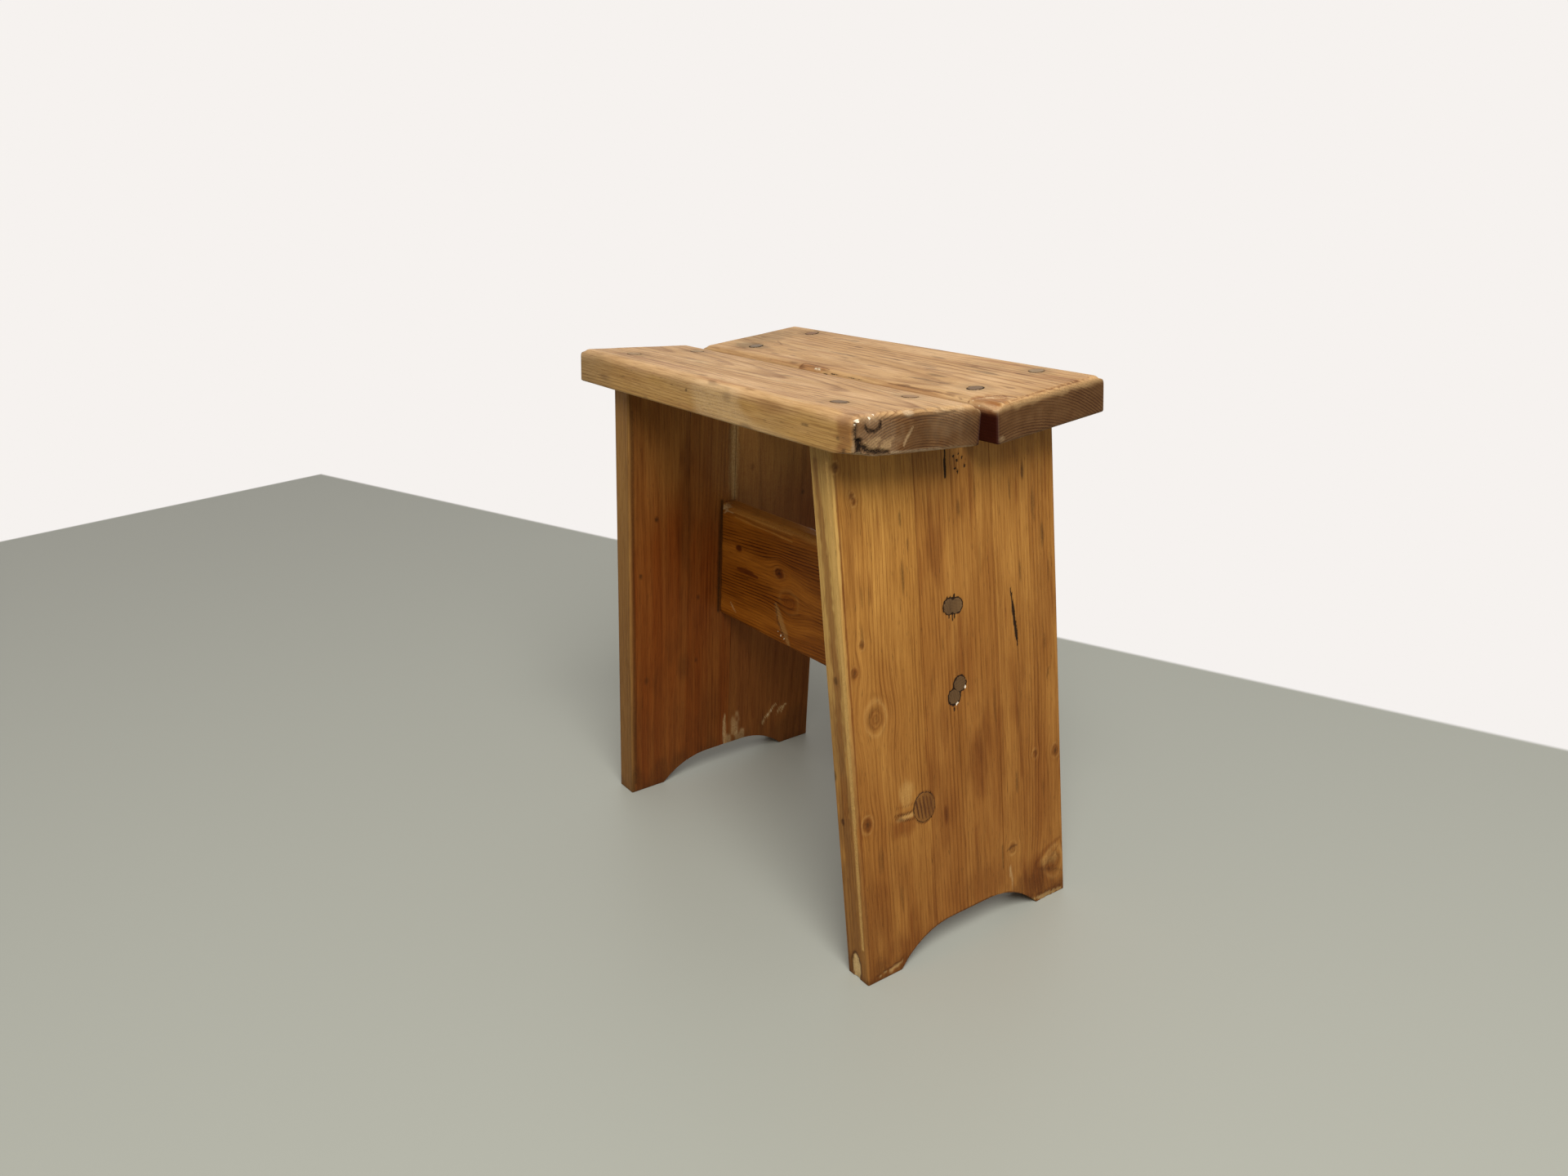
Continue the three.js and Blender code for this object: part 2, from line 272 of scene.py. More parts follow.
@dataclass(frozen=True)
class Rim(Mark):
    """The dark ragged line round a plug or patch: distance from an ellipse, over the line's half width."""

    place: Place
    radii: tuple[float, float]
    width: float
    tones: Tones
    ragged: float = 0.5
    depth: float = 0.3
    reach: float = 3.0  # how far from the place's face points are still painted

    def lay_on(self, skin: Skin) -> None:
        """Works on the face that the place lies on."""
        over = (skin.local[:, ACROSS] - self.place[ACROSS]) / self.radii[0]
        up = (skin.local[:, ALONG] - self.place[ALONG]) / self.radii[1]
        near = np.abs(skin.local[:, THROUGH] - self.place[THROUGH]) < self.reach
        away = np.abs(np.hypot(over, up) - 1) * min(self.radii)
        rough = 1 + self.ragged * (1 + skin.noise(skin.local, (1.6, 1.6, 1.6)))
        amount = smooth(1.5 - away / (self.width / 2 * rough)) * near
        skin.paint(self.tones, amount, self.depth)


@dataclass(frozen=True)
class Knot(Mark):
    """A knot seen end on: a ringed core in a dark rim and a warm halo, with the grain flowing round it."""

    place: Place
    radius: float
    stretch: float = 1.35
    core: float = 0.5
    rim: float = 0.45
    halo: float = 0.5
    bend: float = 0.85
    rings: float = 2.5
    relief: float = 0.12  # how far its rim sinks and the grain round it stands up, in millimetres

    def lay_on(self, skin: Skin) -> None:
        """Works in the knot's own radii, away from its axis, on the face that it shows on."""
        local = skin.local
        over = (local[:, ACROSS] - self.place[ACROSS]) / self.radius
        deep = (local[:, THROUGH] - self.place[THROUGH]) / (4 * self.radius)
        up = (local[:, ALONG] - self.place[ALONG]) / (self.radius * self.stretch)
        away = np.sqrt(over**2 + deep**2 + up**2)
        away += 0.15 * skin.noise(local, (self.radius,) * 3)
        inside = smooth((1.1 - away) / 0.3)
        ringed = 0.5 + 0.5 * np.cos(2 * np.pi * self.rings * away)
        centre = np.exp(-((away / 0.55) ** 2))
        rim = np.exp(-(((away - 0.95) / 0.2) ** 2)) * (0.6 + 0.6 * skin.noise(local + 77, (self.radius,) * 3))
        halo = np.exp(-((np.maximum(away - 0.8, 0) / 1.0) ** 2))
        swirl = np.exp(-(((away - 1.55) / 0.22) ** 2))
        swirl *= 0.5 + 0.5 * skin.noise(local + 33, (2 * self.radius,) * 3)
        skin.paint(((WARM, self.halo),), halo)
        skin.paint(((WARM, 0.5), (DARK, 0.25 * self.core)), inside * ringed)
        skin.paint(((DARK, self.core),), centre)
        skin.paint(((DARK, self.rim),), np.maximum(rim, 0), self.relief)
        # A pale ring round the knot where the grain stands up: painted highlight
        skin.paint(((RUB_AND_HIGHLIGHT, 0.45),), np.maximum(swirl, 0), -self.relief)
        push = np.exp(-((over / 3) ** 2) - (up / 2.4) ** 2 - deep**2)
        skin.bent[:, ACROSS] -= (local[:, ACROSS] - self.place[ACROSS]) * self.bend * push


@dataclass(frozen=True)
class Cut:
    """Wood that is gone: what lies beyond a rough plane is drawn back onto it."""

    place: Place
    outward: Place
    rough: float = 0.3
    cell: Place = (4.0, 4.0, 12.0)
    tones: Tones = ()
    start: float = -math.inf  # where the cut begins along the piece, with a steep wall

    def carve(self, skin: Skin) -> None:
        """Moves the points beyond the plane back along its normal, and paints what that bares."""
        normal = np.asarray(self.outward, float)
        normal /= np.linalg.norm(normal)
        beyond = (skin.local - self.place) @ normal + self.rough * (skin.noise(skin.local, self.cell) - 0.5)
        taken = np.maximum(beyond, 0) * smooth(skin.local[:, ALONG] - self.start + 0.5)
        skin.local -= np.outer(taken, normal)
        skin.paint(self.tones, smooth(taken / 0.8))


def corner_cut(corner: Place, runs: Place, **finish) -> Cut:
    """A cut across a corner.

    Args:
        corner: the corner that is lost.
        runs: signed distances from it back along each axis, to where the plane crosses the edges.
        finish: the cut's other fields.

    Returns:
        The cut, whose normal is one over each run.
    """
    return Cut((corner[0] + runs[0], corner[1], corner[2]), tuple(-1 / run for run in runs), **finish)


@dataclass(frozen=True)
class Grain:
    """Where the tree's heart lay, seen from the piece, and how wide its years grew."""

    heart: tuple[float, float]  # across and through
    year: float
    lean: tuple[float, float] = (0.0, 0.0)  # how far the heart drifts for each millimetre along
    wave: float = 1.0

    def rings(self, skin: Skin) -> np.ndarray:
        """Counts growth rings: the distance from the heart, wandering a little, over a year's width."""
        bent = skin.bent
        over = bent[:, ACROSS] - self.heart[0] - self.lean[0] * bent[:, ALONG]
        deep = bent[:, THROUGH] - self.heart[1] - self.lean[1] * bent[:, ALONG]
        away = np.hypot(over, deep)
        away += self.wave * skin.noise(bent, (45.0, 45.0, 150.0))
        away += 0.3 * self.wave * skin.noise(bent + 500, (14.0, 14.0, 70.0))
        return away / self.year


def spread(low: float, high: float, step: float, low_round: float, high_round: float) -> np.ndarray:
    """Places along one side of a box: even steps, and finer ones where its edges are eased.

    Inside a round of radius r the arc has turned by an angle where the place is r (1 - tan(angle)) from the face.

    Args:
        low: the side's start.
        high: the side's end.
        step: the even spacing.
        low_round: the radius at the start.
        high_round: the radius at the end.

    Returns:
        Rising places from low to high.
    """
    turn = 1 - np.tan(np.linspace(math.pi / 4, 0, 5, endpoint=False))
    count = max(2, math.ceil((high - low - low_round - high_round) / step) + 1)
    middle = np.linspace(low + low_round, high - high_round, count)
    start = low + low_round * turn if low_round else np.zeros(0)
    end = (high - high_round * turn)[::-1] if high_round else np.zeros(0)
    return np.concatenate([start, middle, end])


@dataclass(frozen=True)
class Blank:
    """A squared piece, and how its edges are eased. Radii go by which of its faces meet."""

    low: Place
    high: Place
    long_rounds: tuple[float, float, float, float]  # low-low, high-low, high-high, low-high of across-through
    end_rounds: tuple[float, float]  # ends with the low and the high face
    plan_rounds: tuple[float, float]  # ends with the low and the high side
    steps: Place

    def grid(self) -> tuple[np.ndarray, np.ndarray]:
        """Carries the squared section along the piece and closes both ends.

        An end runs from the section's rim straight in to the middle line of its thickness, where points that
        coincide are joined.

        Returns:
            Points, and triangles of point numbers that face outwards.
        """
        (a0, t0, l0), (a1, t1, l1) = self.low, self.high
        rounds, ends = self.long_rounds, max(*self.end_rounds, *self.plan_rounds)
        across = spread(a0, a1, self.steps[0], max(rounds[0], rounds[3]), max(rounds[1], rounds[2]))
        through = spread(t0, t1, self.steps[1], max(rounds[0], rounds[1]), max(rounds[2], rounds[3]))
        along = spread(l0, l1, self.steps[2], ends, ends)
        ring = np.concatenate([
            np.column_stack([across, np.full(len(across), t0)]),
            np.column_stack([np.full(len(through) - 1, a1), through[1:]]),
            np.column_stack([across[-2::-1], np.full(len(across) - 1, t1)]),
            np.column_stack([np.full(len(through) - 2, a0), through[-2:0:-1]]),
        ])
        half = (t1 - t0) / 2
        core = np.column_stack([np.clip(ring[:, 0], a0 + half, a1 - half), np.full(len(ring), (t0 + t1) / 2)])
        inward = spread(0, half, self.steps[1], max(self.end_rounds), 0)[1:] / half
        shares = np.concatenate([inward[::-1], np.zeros(len(along)), inward])
        levels = np.concatenate([np.full(len(inward), l0), along, np.full(len(inward), l1)])
        section = ring + shares[:, None, None] * (core - ring)
        heights = np.broadcast_to(levels[:, None, None], section.shape[:2] + (1,))
        points = np.concatenate([section, heights], axis=2)
        here = np.arange(points.shape[0] * points.shape[1]).reshape(points.shape[:2])
        after = np.roll(here, -1, axis=1)
        corners = np.stack([here[:-1], after[:-1], after[1:], here[1:]], axis=2).reshape(-1, 4)
        points, joined = np.unique(np.round(points.reshape(-1, 3), 6), axis=0, return_inverse=True)
        corners = joined.reshape(-1)[corners]
        triangles = np.concatenate([corners[:, [0, 1, 2]], corners[:, [0, 2, 3]]])
        a, b, c = triangles.T
        return points, triangles[(a != b) & (b != c) & (c != a)]

    def ease(self, points: np.ndarray) -> None:
        """Rounds every edge, the long ones first.

        In the square of side r at an edge, a point keeps its direction from the square's inner corner and the
        larger of its two steps, so the square becomes a quarter disc.

        Args:
            points: moved in place.
        """
        long_edges = [((0, -1), (1, -1)), ((0, 1), (1, -1)), ((0, 1), (1, 1)), ((0, -1), (1, 1))]
        edges = [(first, second, r) for (first, second), r in zip(long_edges, self.long_rounds)]
        for end in (-1, 1):
            edges += [((0, -1), (2, end), self.plan_rounds[0]), ((0, 1), (2, end), self.plan_rounds[1])]
            edges += [((1, -1), (2, end), self.end_rounds[0]), ((1, 1), (2, end), self.end_rounds[1])]
        for (axis, side), (other, other_side), radius in edges:
            face = (self.low if side < 0 else self.high)[axis]
            other_face = (self.low if other_side < 0 else self.high)[other]
            one = np.maximum(side * (points[:, axis] - face) + radius, 0)
            two = np.maximum(other_side * (points[:, other] - other_face) + radius, 0)
            scale = np.maximum(one, two) / np.maximum(np.hypot(one, two), 1e-9)
            scale = np.where((one > 0) & (two > 0), scale, 1)
            points[:, axis] -= side * one * (1 - scale)
            points[:, other] -= other_side * two * (1 - scale)


def corner_normals(points: np.ndarray, triangles: np.ndarray) -> np.ndarray:
    """Adds up the normals of the triangles round each point, each the cross product of two edges.

    Args:
        points: the vertices.
        triangles: vertex numbers, three in each row.

    Returns:
        Unit normals, one for each vertex.
    """
    a, b, c = (points[triangles[:, i]] for i in range(3))
    faces = np.cross(b - a, c - a)
    total = np.zeros_like(points)
    for i, axis in product(range(3), range(3)):
        total[:, axis] += np.bincount(triangles[:, i], faces[:, axis], len(points))
    return total / np.maximum(np.linalg.norm(total, axis=1, keepdims=True), 1e-12)


def fill_mesh(name: str, points: np.ndarray, triangles: np.ndarray, skin: Skin,
              rings: np.ndarray) -> bpy.types.Object:
    """Makes a closed, smooth mesh object at the origin, with the skin's masks as attributes.

    Args:
        name: the piece's name.
        points: vertices in the stool's frame, in millimetres.
        triangles: vertex numbers, turned round here if they face inwards.
        skin: gives the masks and the places that the grain is read at.
        rings: the growth ring that each vertex lies in.

    Returns:
        The linked object.
    """
    a, b, c = (points[triangles[:, i]] for i in range(3))
    if np.sum(np.cross(a, b) * c) < 0:
        triangles = triangles[:, ::-1]
    mesh = bpy.data.meshes.new(name)
    mesh.vertices.add(len(points))
    mesh.vertices.foreach_set("co", (points * MM).astype(np.float32).ravel())
    mesh.loops.add(triangles.size)
    mesh.loops.foreach_set("vertex_index", np.ascontiguousarray(triangles, dtype=np.int32).ravel())
    mesh.polygons.add(len(triangles))
    mesh.polygons.foreach_set("loop_start", np.arange(0, triangles.size, 3, dtype=np.int32))
    mesh.polygons.foreach_set("use_smooth", np.ones(len(triangles), dtype=bool))
    values = {mask.value: amount for mask, amount in skin.masks.items()} | {"ring": rings}
    for key, value in values.items():
        mesh.attributes.new(key, "FLOAT", "POINT").data.foreach_set("value", value.astype(np.float32))
    layer = mesh.attributes.new("place", "FLOAT_VECTOR", "POINT")
    layer.data.foreach_set("vector", skin.bent.astype(np.float32).ravel())
    mesh.update(calc_edges=True)
    piece = bpy.data.objects.new(name, mesh)
    bpy.context.scene.collection.objects.link(piece)
    return piece


Socket = bpy.types.NodeSocket


def add_node(tree: bpy.types.NodeTree, kind: str, inputs: dict | list | tuple = (), output: int | str = 0,
             **settings) -> Socket | None:
    """Adds one shader node.

    Args:
        tree: the material's or world's node tree.
        kind: the node's type without its prefix, such as "Math".
        inputs: what its inputs get, in order, or by name or number: a socket to link, or a value.
        output: which of its outputs is wanted.
        settings: the node's own properties.

    Returns:
        That output's socket, or nothing from the last node.
    """
    node = tree.nodes.new("ShaderNode" + kind)
    for key, value in settings.items():
        setattr(node, key, value)
    for key, value in inputs.items() if isinstance(inputs, dict) else enumerate(inputs):
        if isinstance(value, Socket):
            tree.links.new(value, node.inputs[key])
        else:
            node.inputs[key].default_value = value
    return node.outputs[output] if node.outputs else None


def blank_material(name: str) -> bpy.types.Material:
    """Makes a material whose node tree is empty."""
    material = bpy.data.materials.new(name)
    material.use_nodes = True
    material.node_tree.nodes.clear()
    return material


@dataclass(frozen=True)
class PineFinish:
    """Old pine under worn wax or varnish: pale spring wood, darker summer lines, what use adds, and painted shade and
    highlights.

    Lines, fibres and streaks multiply the wood under them by one colour, as a glaze does, so they show in every
    tone. Wood is a dull dielectric: a low sheen and a thin, soft coat are all that the finish leaves.
    """

    name: str
    slot: str  # a material slot's name
    early: str
    deep: str  # what broad patches of the wood lean towards
    glaze: str  # what lines and fibres multiply the wood by
    gold: str
    warm: str
    grey: str
    end: str
    rub_and_highlight: str
    pale: str
    dark: str
    roughness: float
    coat: float
    contrast: float
    shift: float  # keeps one piece's noise from repeating another's
    sheen: float = 0.12
    # The dark red of the painted shade deep in the seat's gap
    gap_shade: str = "#300b05"
    crack: str = "#1c130d"
    fleck: str = "#e8dac0"

    BUMP = 0.8
    COAT_ROUGHNESS = 0.28
    WOOD_IOR = 1.5
    # Noises by name: cells in millimetres across and along the grain, and octaves
    CELLS = {
        "fibre": (0.55, 20.0, 3.0), "streak": (2.2, 150.0, 3.0), "band": (8.0, 260.0, 2.0),
        "broad": (24.0, 100.0, 3.0), "grit": (0.9, 1.6, 3.0), "duct": (0.7, 9.0, 1.0), "dent": (4.0, 9.0, 2.0),
    }

    def sums(self) -> tuple[tuple, ...]:
        """Lists the sums that turn noises, rings and masks into shares.

        Returns:
            Rows of a name, what is done, and its terms. RANGE takes a value from between two limits to between
            two others, and the rest are sums by their usual names.
        """
        return (
            ("mottle", "RANGE", "broad", 0.36, 0.64, 0.0, 1.0),
            ("banding", "RANGE", "band", 0.4, 0.62, 0.0, 0.6),
            ("take", "RANGE", "band", 0.35, 0.6, 0.9, 1.0),
            *((f"{name}_share", "MULTIPLY", name, "take") for name in ("gold", "warm", "grey", "end")),
            # A year starts pale, darkens slowly to its summer wood and ends in a sharp line
            ("wander", "RANGE", "streak", 0.25, 0.75, -0.12, 0.12),
            ("count", "ADD", "ring", "wander"),
            ("phase", "FRACT", "count"),
            ("rise", "RANGE", "phase", 0.35, 0.88, 0.0, 1.0),
            ("summer", "POWER", "rise", 1.8),
            ("fall", "RANGE", "phase", 0.92, 1.0, 1.0, 0.0),
            ("sharp", "MULTIPLY", "summer", "fall"),
            # Each year has its own strength: the sine of its number times a large odd factor
            ("year", "FLOOR", "count"),
            ("scrambled", "MULTIPLY", "year", 12.9898),
            ("wave", "SINE", "scrambled"),
            ("strength", "RANGE", "wave", -1.0, 1.0, 0.45, 1.0),
            ("faint", "RANGE", "broad", 0.36, 0.58, 0.35, 1.1),
            ("own", "MULTIPLY", "sharp", "strength"),
            ("line", "MULTIPLY", "own", "faint"),
            ("side", "RANGE", "end", 0.0, 0.7, 1.0, 0.0),
            ("fuller", "RANGE", "end", 0.0, 1.0, self.contrast, self.contrast + 0.9),
            ("evener", "RANGE", "gold", 0.2, 1.0, 1.0, 0.4),  # sapwood's lines are faint
            ("full_line", "MULTIPLY", "line", "fuller"),
            ("line_share", "MULTIPLY", "full_line", "evener"),
            # Fibres, streaks and resin ducts run along the grain, so end grain shows none of them
            ("dim", "RANGE", "streak", 0.5, 0.72, 0.0, 0.3),
            ("streak_share", "MULTIPLY", "dim", "side"),
            ("fine", "RANGE", "fibre", 0.48, 0.7, 0.0, 0.45),
            ("fibre_share", "MULTIPLY", "fine", "side"),
            ("dash", "RANGE", "duct", 0.68, 0.75, 0.0, 0.45),
            ("duct_share", "MULTIPLY", "dash", "side"),
            ("worn", "RANGE", "grit", 0.35, 0.65, 0.45, 1.0),
            ("rub_and_highlight_share", "MULTIPLY", "rub_and_highlight", "worn"),
            ("pale_share", "MULTIPLY", "pale", "worn"),
            ("dirty", "RANGE", "grit", 0.3, 0.6, 0.7, 1.0),
            ("dark_share", "MULTIPLY", "dark", "dirty"),
            # Cracks and flecks take a ragged edge from the grit, finer than the mesh
            ("ragged", "RANGE", "grit", 0.3, 0.7, -0.22, 0.22),
            ("split", "ADD", "crack", "ragged"),
            ("crack_share", "RANGE", "split", 0.42, 0.62, 0.0, 0.92),
            ("chip", "ADD", "fleck", "ragged"),
            ("fleck_share", "RANGE", "chip", 0.42, 0.6, 0.0, 1.0),
            # Sound finish is smooth, bare and torn wood is rough
            ("satin", "RANGE", "fibre", 0.3, 0.7, self.roughness - 0.06, self.roughness + 0.1),
            ("torn", "MULTIPLY_ADD", "pale", 0.25, "satin"),
            ("weathered", "MULTIPLY_ADD", "grey", 0.2, "torn"),
            ("open", "MULTIPLY_ADD", "end", 0.2, "weathered"),
            ("gloss", "MULTIPLY_ADD", "crack", 0.4, "open"),
            # Relief in millimetres: dents, sunk summer lines, fibres and cracks
            ("dented", "MULTIPLY", "dent", 0.25),
            ("lined", "MULTIPLY_ADD", "line", -0.12, "dented"),
            ("fibrous", "MULTIPLY_ADD", "fibre", -0.1, "lined"),
            ("relief", "MULTIPLY_ADD", "crack_share", -0.5, "fibrous"),
        )

    def layers(self) -> tuple[tuple[str, str, str], ...]:
        """Lists the layers of colour, from the wood up: a share, its colour and how it is laid."""
        return (
            ("mottle", self.deep, "MIX"), ("banding", self.deep, "MIX"), ("gold_share", self.gold, "MIX"),
            ("warm_share", self.warm, "MIX"), ("grey_share", self.grey, "MIX"), ("end_share", self.end, "MIX"),
            ("line_share", self.glaze, "MULTIPLY"), ("streak_share", self.glaze, "MULTIPLY"),
            ("fibre_share", self.glaze, "MULTIPLY"), ("duct_share", self.dark, "MIX"),
            ("rub_and_highlight_share", self.rub_and_highlight, "MIX"), ("pale_share", self.pale, "MIX"), ("dark_share", self.dark, "MIX"),
            ("gap_shade", self.gap_shade, "MIX"), ("crack_share", self.crack, "MIX"), ("fleck_share", self.fleck, "MIX"),
        )

    def material(self) -> bpy.types.Material:
        """Builds the shader: noises, then sums, then the layers of colour.

        Returns:
            The material.
        """
        material = blank_material(self.name)
        tree = material.node_tree
        values = {name: add_node(tree, "Attribute", output="Fac", attribute_name=name)
                  for name in [mask.value for mask in Mask] + ["ring"]}
        place = add_node(tree, "Attribute", output="Vector", attribute_name="place")
        for name, (across, along, detail) in self.CELLS.items():
            sized = add_node(tree, "VectorMath", (place, (1 / across, 1 / across, 1 / along), (self.shift,) * 3),
                             operation="MULTIPLY_ADD")
            values[name] = add_node(tree, "TexNoise", {"Vector": sized, "Scale": 1.0, "Detail": detail}, "Fac")
        for name, done, *terms in self.sums():
            kind, settings = ("MapRange", {}) if done == "RANGE" else ("Math", {"operation": done})
            values[name] = add_node(tree, kind, [values.get(term, term) for term in terms], **settings)
        shade = linear(self.early)
        for share, colour, mode in self.layers():
            shade = add_node(tree, "Mix", {0: values[share], 6: shade, 7: linear(colour)}, 2, data_type="RGBA",
                             blend_type=mode)
        bump = add_node(tree, "Bump", {"Height": values["relief"], "Strength": self.BUMP, "Distance": MM})
        surface = add_node(tree, "BsdfPrincipled", {
            "Base Color": shade, "Roughness": values["gloss"], "Normal": bump, "IOR": self.WOOD_IOR,
            "Specular IOR Level": self.sheen, "Coat Weight": self.coat, "Coat Roughness": self.COAT_ROUGHNESS})
        add_node(tree, "OutputMaterial", (surface,))
        return material


class Pine(Enum):
    """The finishes of the wooden pieces."""

    # Softwood, planed and waxed, then handled for years: pinkish tan on top, with soft low sheen
    SEAT = PineFinish(
        "worn_waxed_pine", "seat_pine",
        early="#d8b080", deep="#c19764", glaze="#9c7c5c", gold="#b78f50", warm="#94562a", grey="#9c8668",
 end="#6e4a28", rub_and_highlight="#dcb47c", pale="#e2c9a2", dark="#3a2818",
        roughness=0.5, coat=0.0, contrast=0.6, shift=3.1)
    # Softwood, planed and varnished: golden, with darker heartwood stains and an even, satin skin; its warm red-brown
    # also paints shade on the legs' inner faces
    LEG = PineFinish(
        "satin_varnished_pine", "leg_pine",
        early="#d39b4c", deep="#b7803a", glaze="#a07c58", gold="#cba660", warm="#7c3604", grey="#86673a",
 end="#7d5424", rub_and_highlight="#d8aa62", pale="#dcbc84", dark="#33200f",
        roughness=0.42, coat=0.03, contrast=0.5, shift=17.3, sheen=0.07)
    # Heart pine with strong summer wood under the same varnish: red-brown, plainly lined
    STRETCHER = PineFinish(
        "varnished_heart_pine", "stretcher_pine",
        early="#ac661e", deep="#8c4c10", glaze="#6a452a", gold="#b07a30", warm="#6c2c08", grey="#7a5c3c",
 end="#5c3412", rub_and_highlight="#c08a44", pale="#d8b884", dark="#26110a",
        roughness=0.42, coat=0.03, contrast=1.0, shift=47.9, sheen=0.07)
    # A slice of knotty pine, flushed off and varnished over: brown, with five dark lines
    PATCH = PineFinish(
        "varnished_knot_pine", "patch_pine",
        early="#825626", deep="#72481e", glaze="#7c5a44", gold="#b58a50", warm="#6c3a14", grey="#7a5c3c",
 end="#5c3412", rub_and_highlight="#a8743c", pale="#d9b684", dark="#3a1c0c",
        roughness=0.42, coat=0.05, contrast=0.4, shift=59.3)
    # Side-grain hardwood plugs in the legs, stained greyish brown by the glue under them
    PLUG = PineFinish(
        "stained_plug_wood", "plug_wood",
        early="#705434", deep="#5e452a", glaze="#b0a090", gold="#a08860", warm="#6a4426", grey="#736a5e",
 end="#4e3a28", rub_and_highlight="#8a6c48", pale="#c8b48c", dark="#2c1e12",
        roughness=0.5, coat=0.05, contrast=0.5, shift=71.1)
    # The same plugs in the seat, worn pale with it
    SEAT_PLUG = PineFinish(
        "worn_plug_wood", "plug_wood",
        early="#a68462", deep="#8c6c4c", glaze="#b0a090", gold="#b09468", warm="#8a5a38", grey="#8c8070",
 end="#6a5038", rub_and_highlight="#b4946c", pale="#cdb698", dark="#3a2a1c",
        roughness=0.5, coat=0.0, contrast=0.5, shift=83.7)


@dataclass(frozen=True)
class ZincSteel:
    """Zinc-plated steel wood screws, rolled and plated: grey, a little dull, with a fine frosted crystal."""

    name: str = "zinc_plated_steel"
    bright: str = "#b4b3ad"
    dull: str = "#8e8d88"
    crystal: float = 0.6

    def material(self) -> bpy.types.Material:
        """Mixes two greys by noise of the crystal's size in millimetres.

        Returns:
            The material.
        """
        material = blank_material(self.name)
        tree = material.node_tree
        place = add_node(tree, "TexCoord", output="Object")
        scale = 1 / (self.crystal * MM)
        frost = add_node(tree, "TexNoise", {"Vector": place, "Scale": scale, "Detail": 2.0}, "Fac")
        greys = {0: frost, 6: linear(self.bright), 7: linear(self.dull)}
        shade = add_node(tree, "Mix", greys, 2, data_type="RGBA")
        gloss = add_node(tree, "MapRange", {"Value": frost, "To Min": 0.3, "To Max": 0.5})
        surface = add_node(tree, "BsdfPrincipled", {"Base Color": shade, "Metallic": 1.0, "Roughness": gloss})
        add_node(tree, "OutputMaterial", (surface,))
        return material


class Host(ABC):
    """A piece of wood with directions of its own."""

    @abstractmethod
    def to_world(self, local: np.ndarray) -> np.ndarray:
        """Turns places across, through and along into the stool's frame."""

    @abstractmethod
    def limits(self, across: np.ndarray, through: np.ndarray) -> tuple[np.ndarray, np.ndarray]:
        """Gives where the piece starts and ends along, at places across and through."""


@dataclass(frozen=True)
class Part(ABC):
    """A finished piece that stands for one of the model's solids."""

    node: str
    pine: Pine

    @property
    def name(self) -> str:
        """The piece's own name."""
        return f"visual_{self.node}"

    @abstractmethod
    def build(self, host: Host) -> bpy.types.Object:
        """Shapes the piece on its host."""


@dataclass(frozen=True)
class Wood(Part):
    """One squared piece: its blank, its grain and all its marks."""

    blank: Blank
    grain: Grain
    seed: int
    cuts: tuple[Cut, ...] = ()
    marks: tuple[Mark, ...] = ()
    uneven: float = 0.3

    def build(self, host: Host) -> bpy.types.Object:
        """Shapes the piece.

        The blank is eased, its ends are stretched to where they meet their neighbours and wood that is gone is
        cut away. Every mark then presses its depth inwards along the surface's normal. Rubbed arrises are those
        that easing moved, and end grain is where the normal points along.

        Args:
            host: the sub-assembly that it belongs to.

        Returns:
            The mesh object.
        """
        points, triangles = self.blank.grid()
        squared = points.copy()
        self.blank.ease(points)
        eased = np.linalg.norm(points - squared, axis=1)
        low, high = host.limits(points[:, ACROSS], points[:, THROUGH])
        start, end = self.blank.low[ALONG], self.blank.high[ALONG]
        points[:, ALONG] = low + (points[:, ALONG] - start) / (end - start) * (high - low)
        skin = Skin(points, self.seed)
        skin.paint(((RUB_AND_HIGHLIGHT, 0.15),), smooth((eased - 0.15) / 1.2))
        for cut in self.cuts:
            cut.carve(skin)
        normals = corner_normals(skin.local, triangles)
        skin.paint(((END, 1.0),), smooth((np.abs(normals[:, ALONG]) - 0.45) / 0.45))
        for mark in self.marks:
            mark.lay_on(skin)
        worn = self.uneven * np.maximum(skin.noise(skin.local + 900, (26.0, 26.0, 90.0)), 0)
        shaped = skin.local - normals * (skin.depth + worn)[:, None]
        return fill_mesh(self.name, host.to_world(shaped), triangles, skin, self.grain.rings(skin))


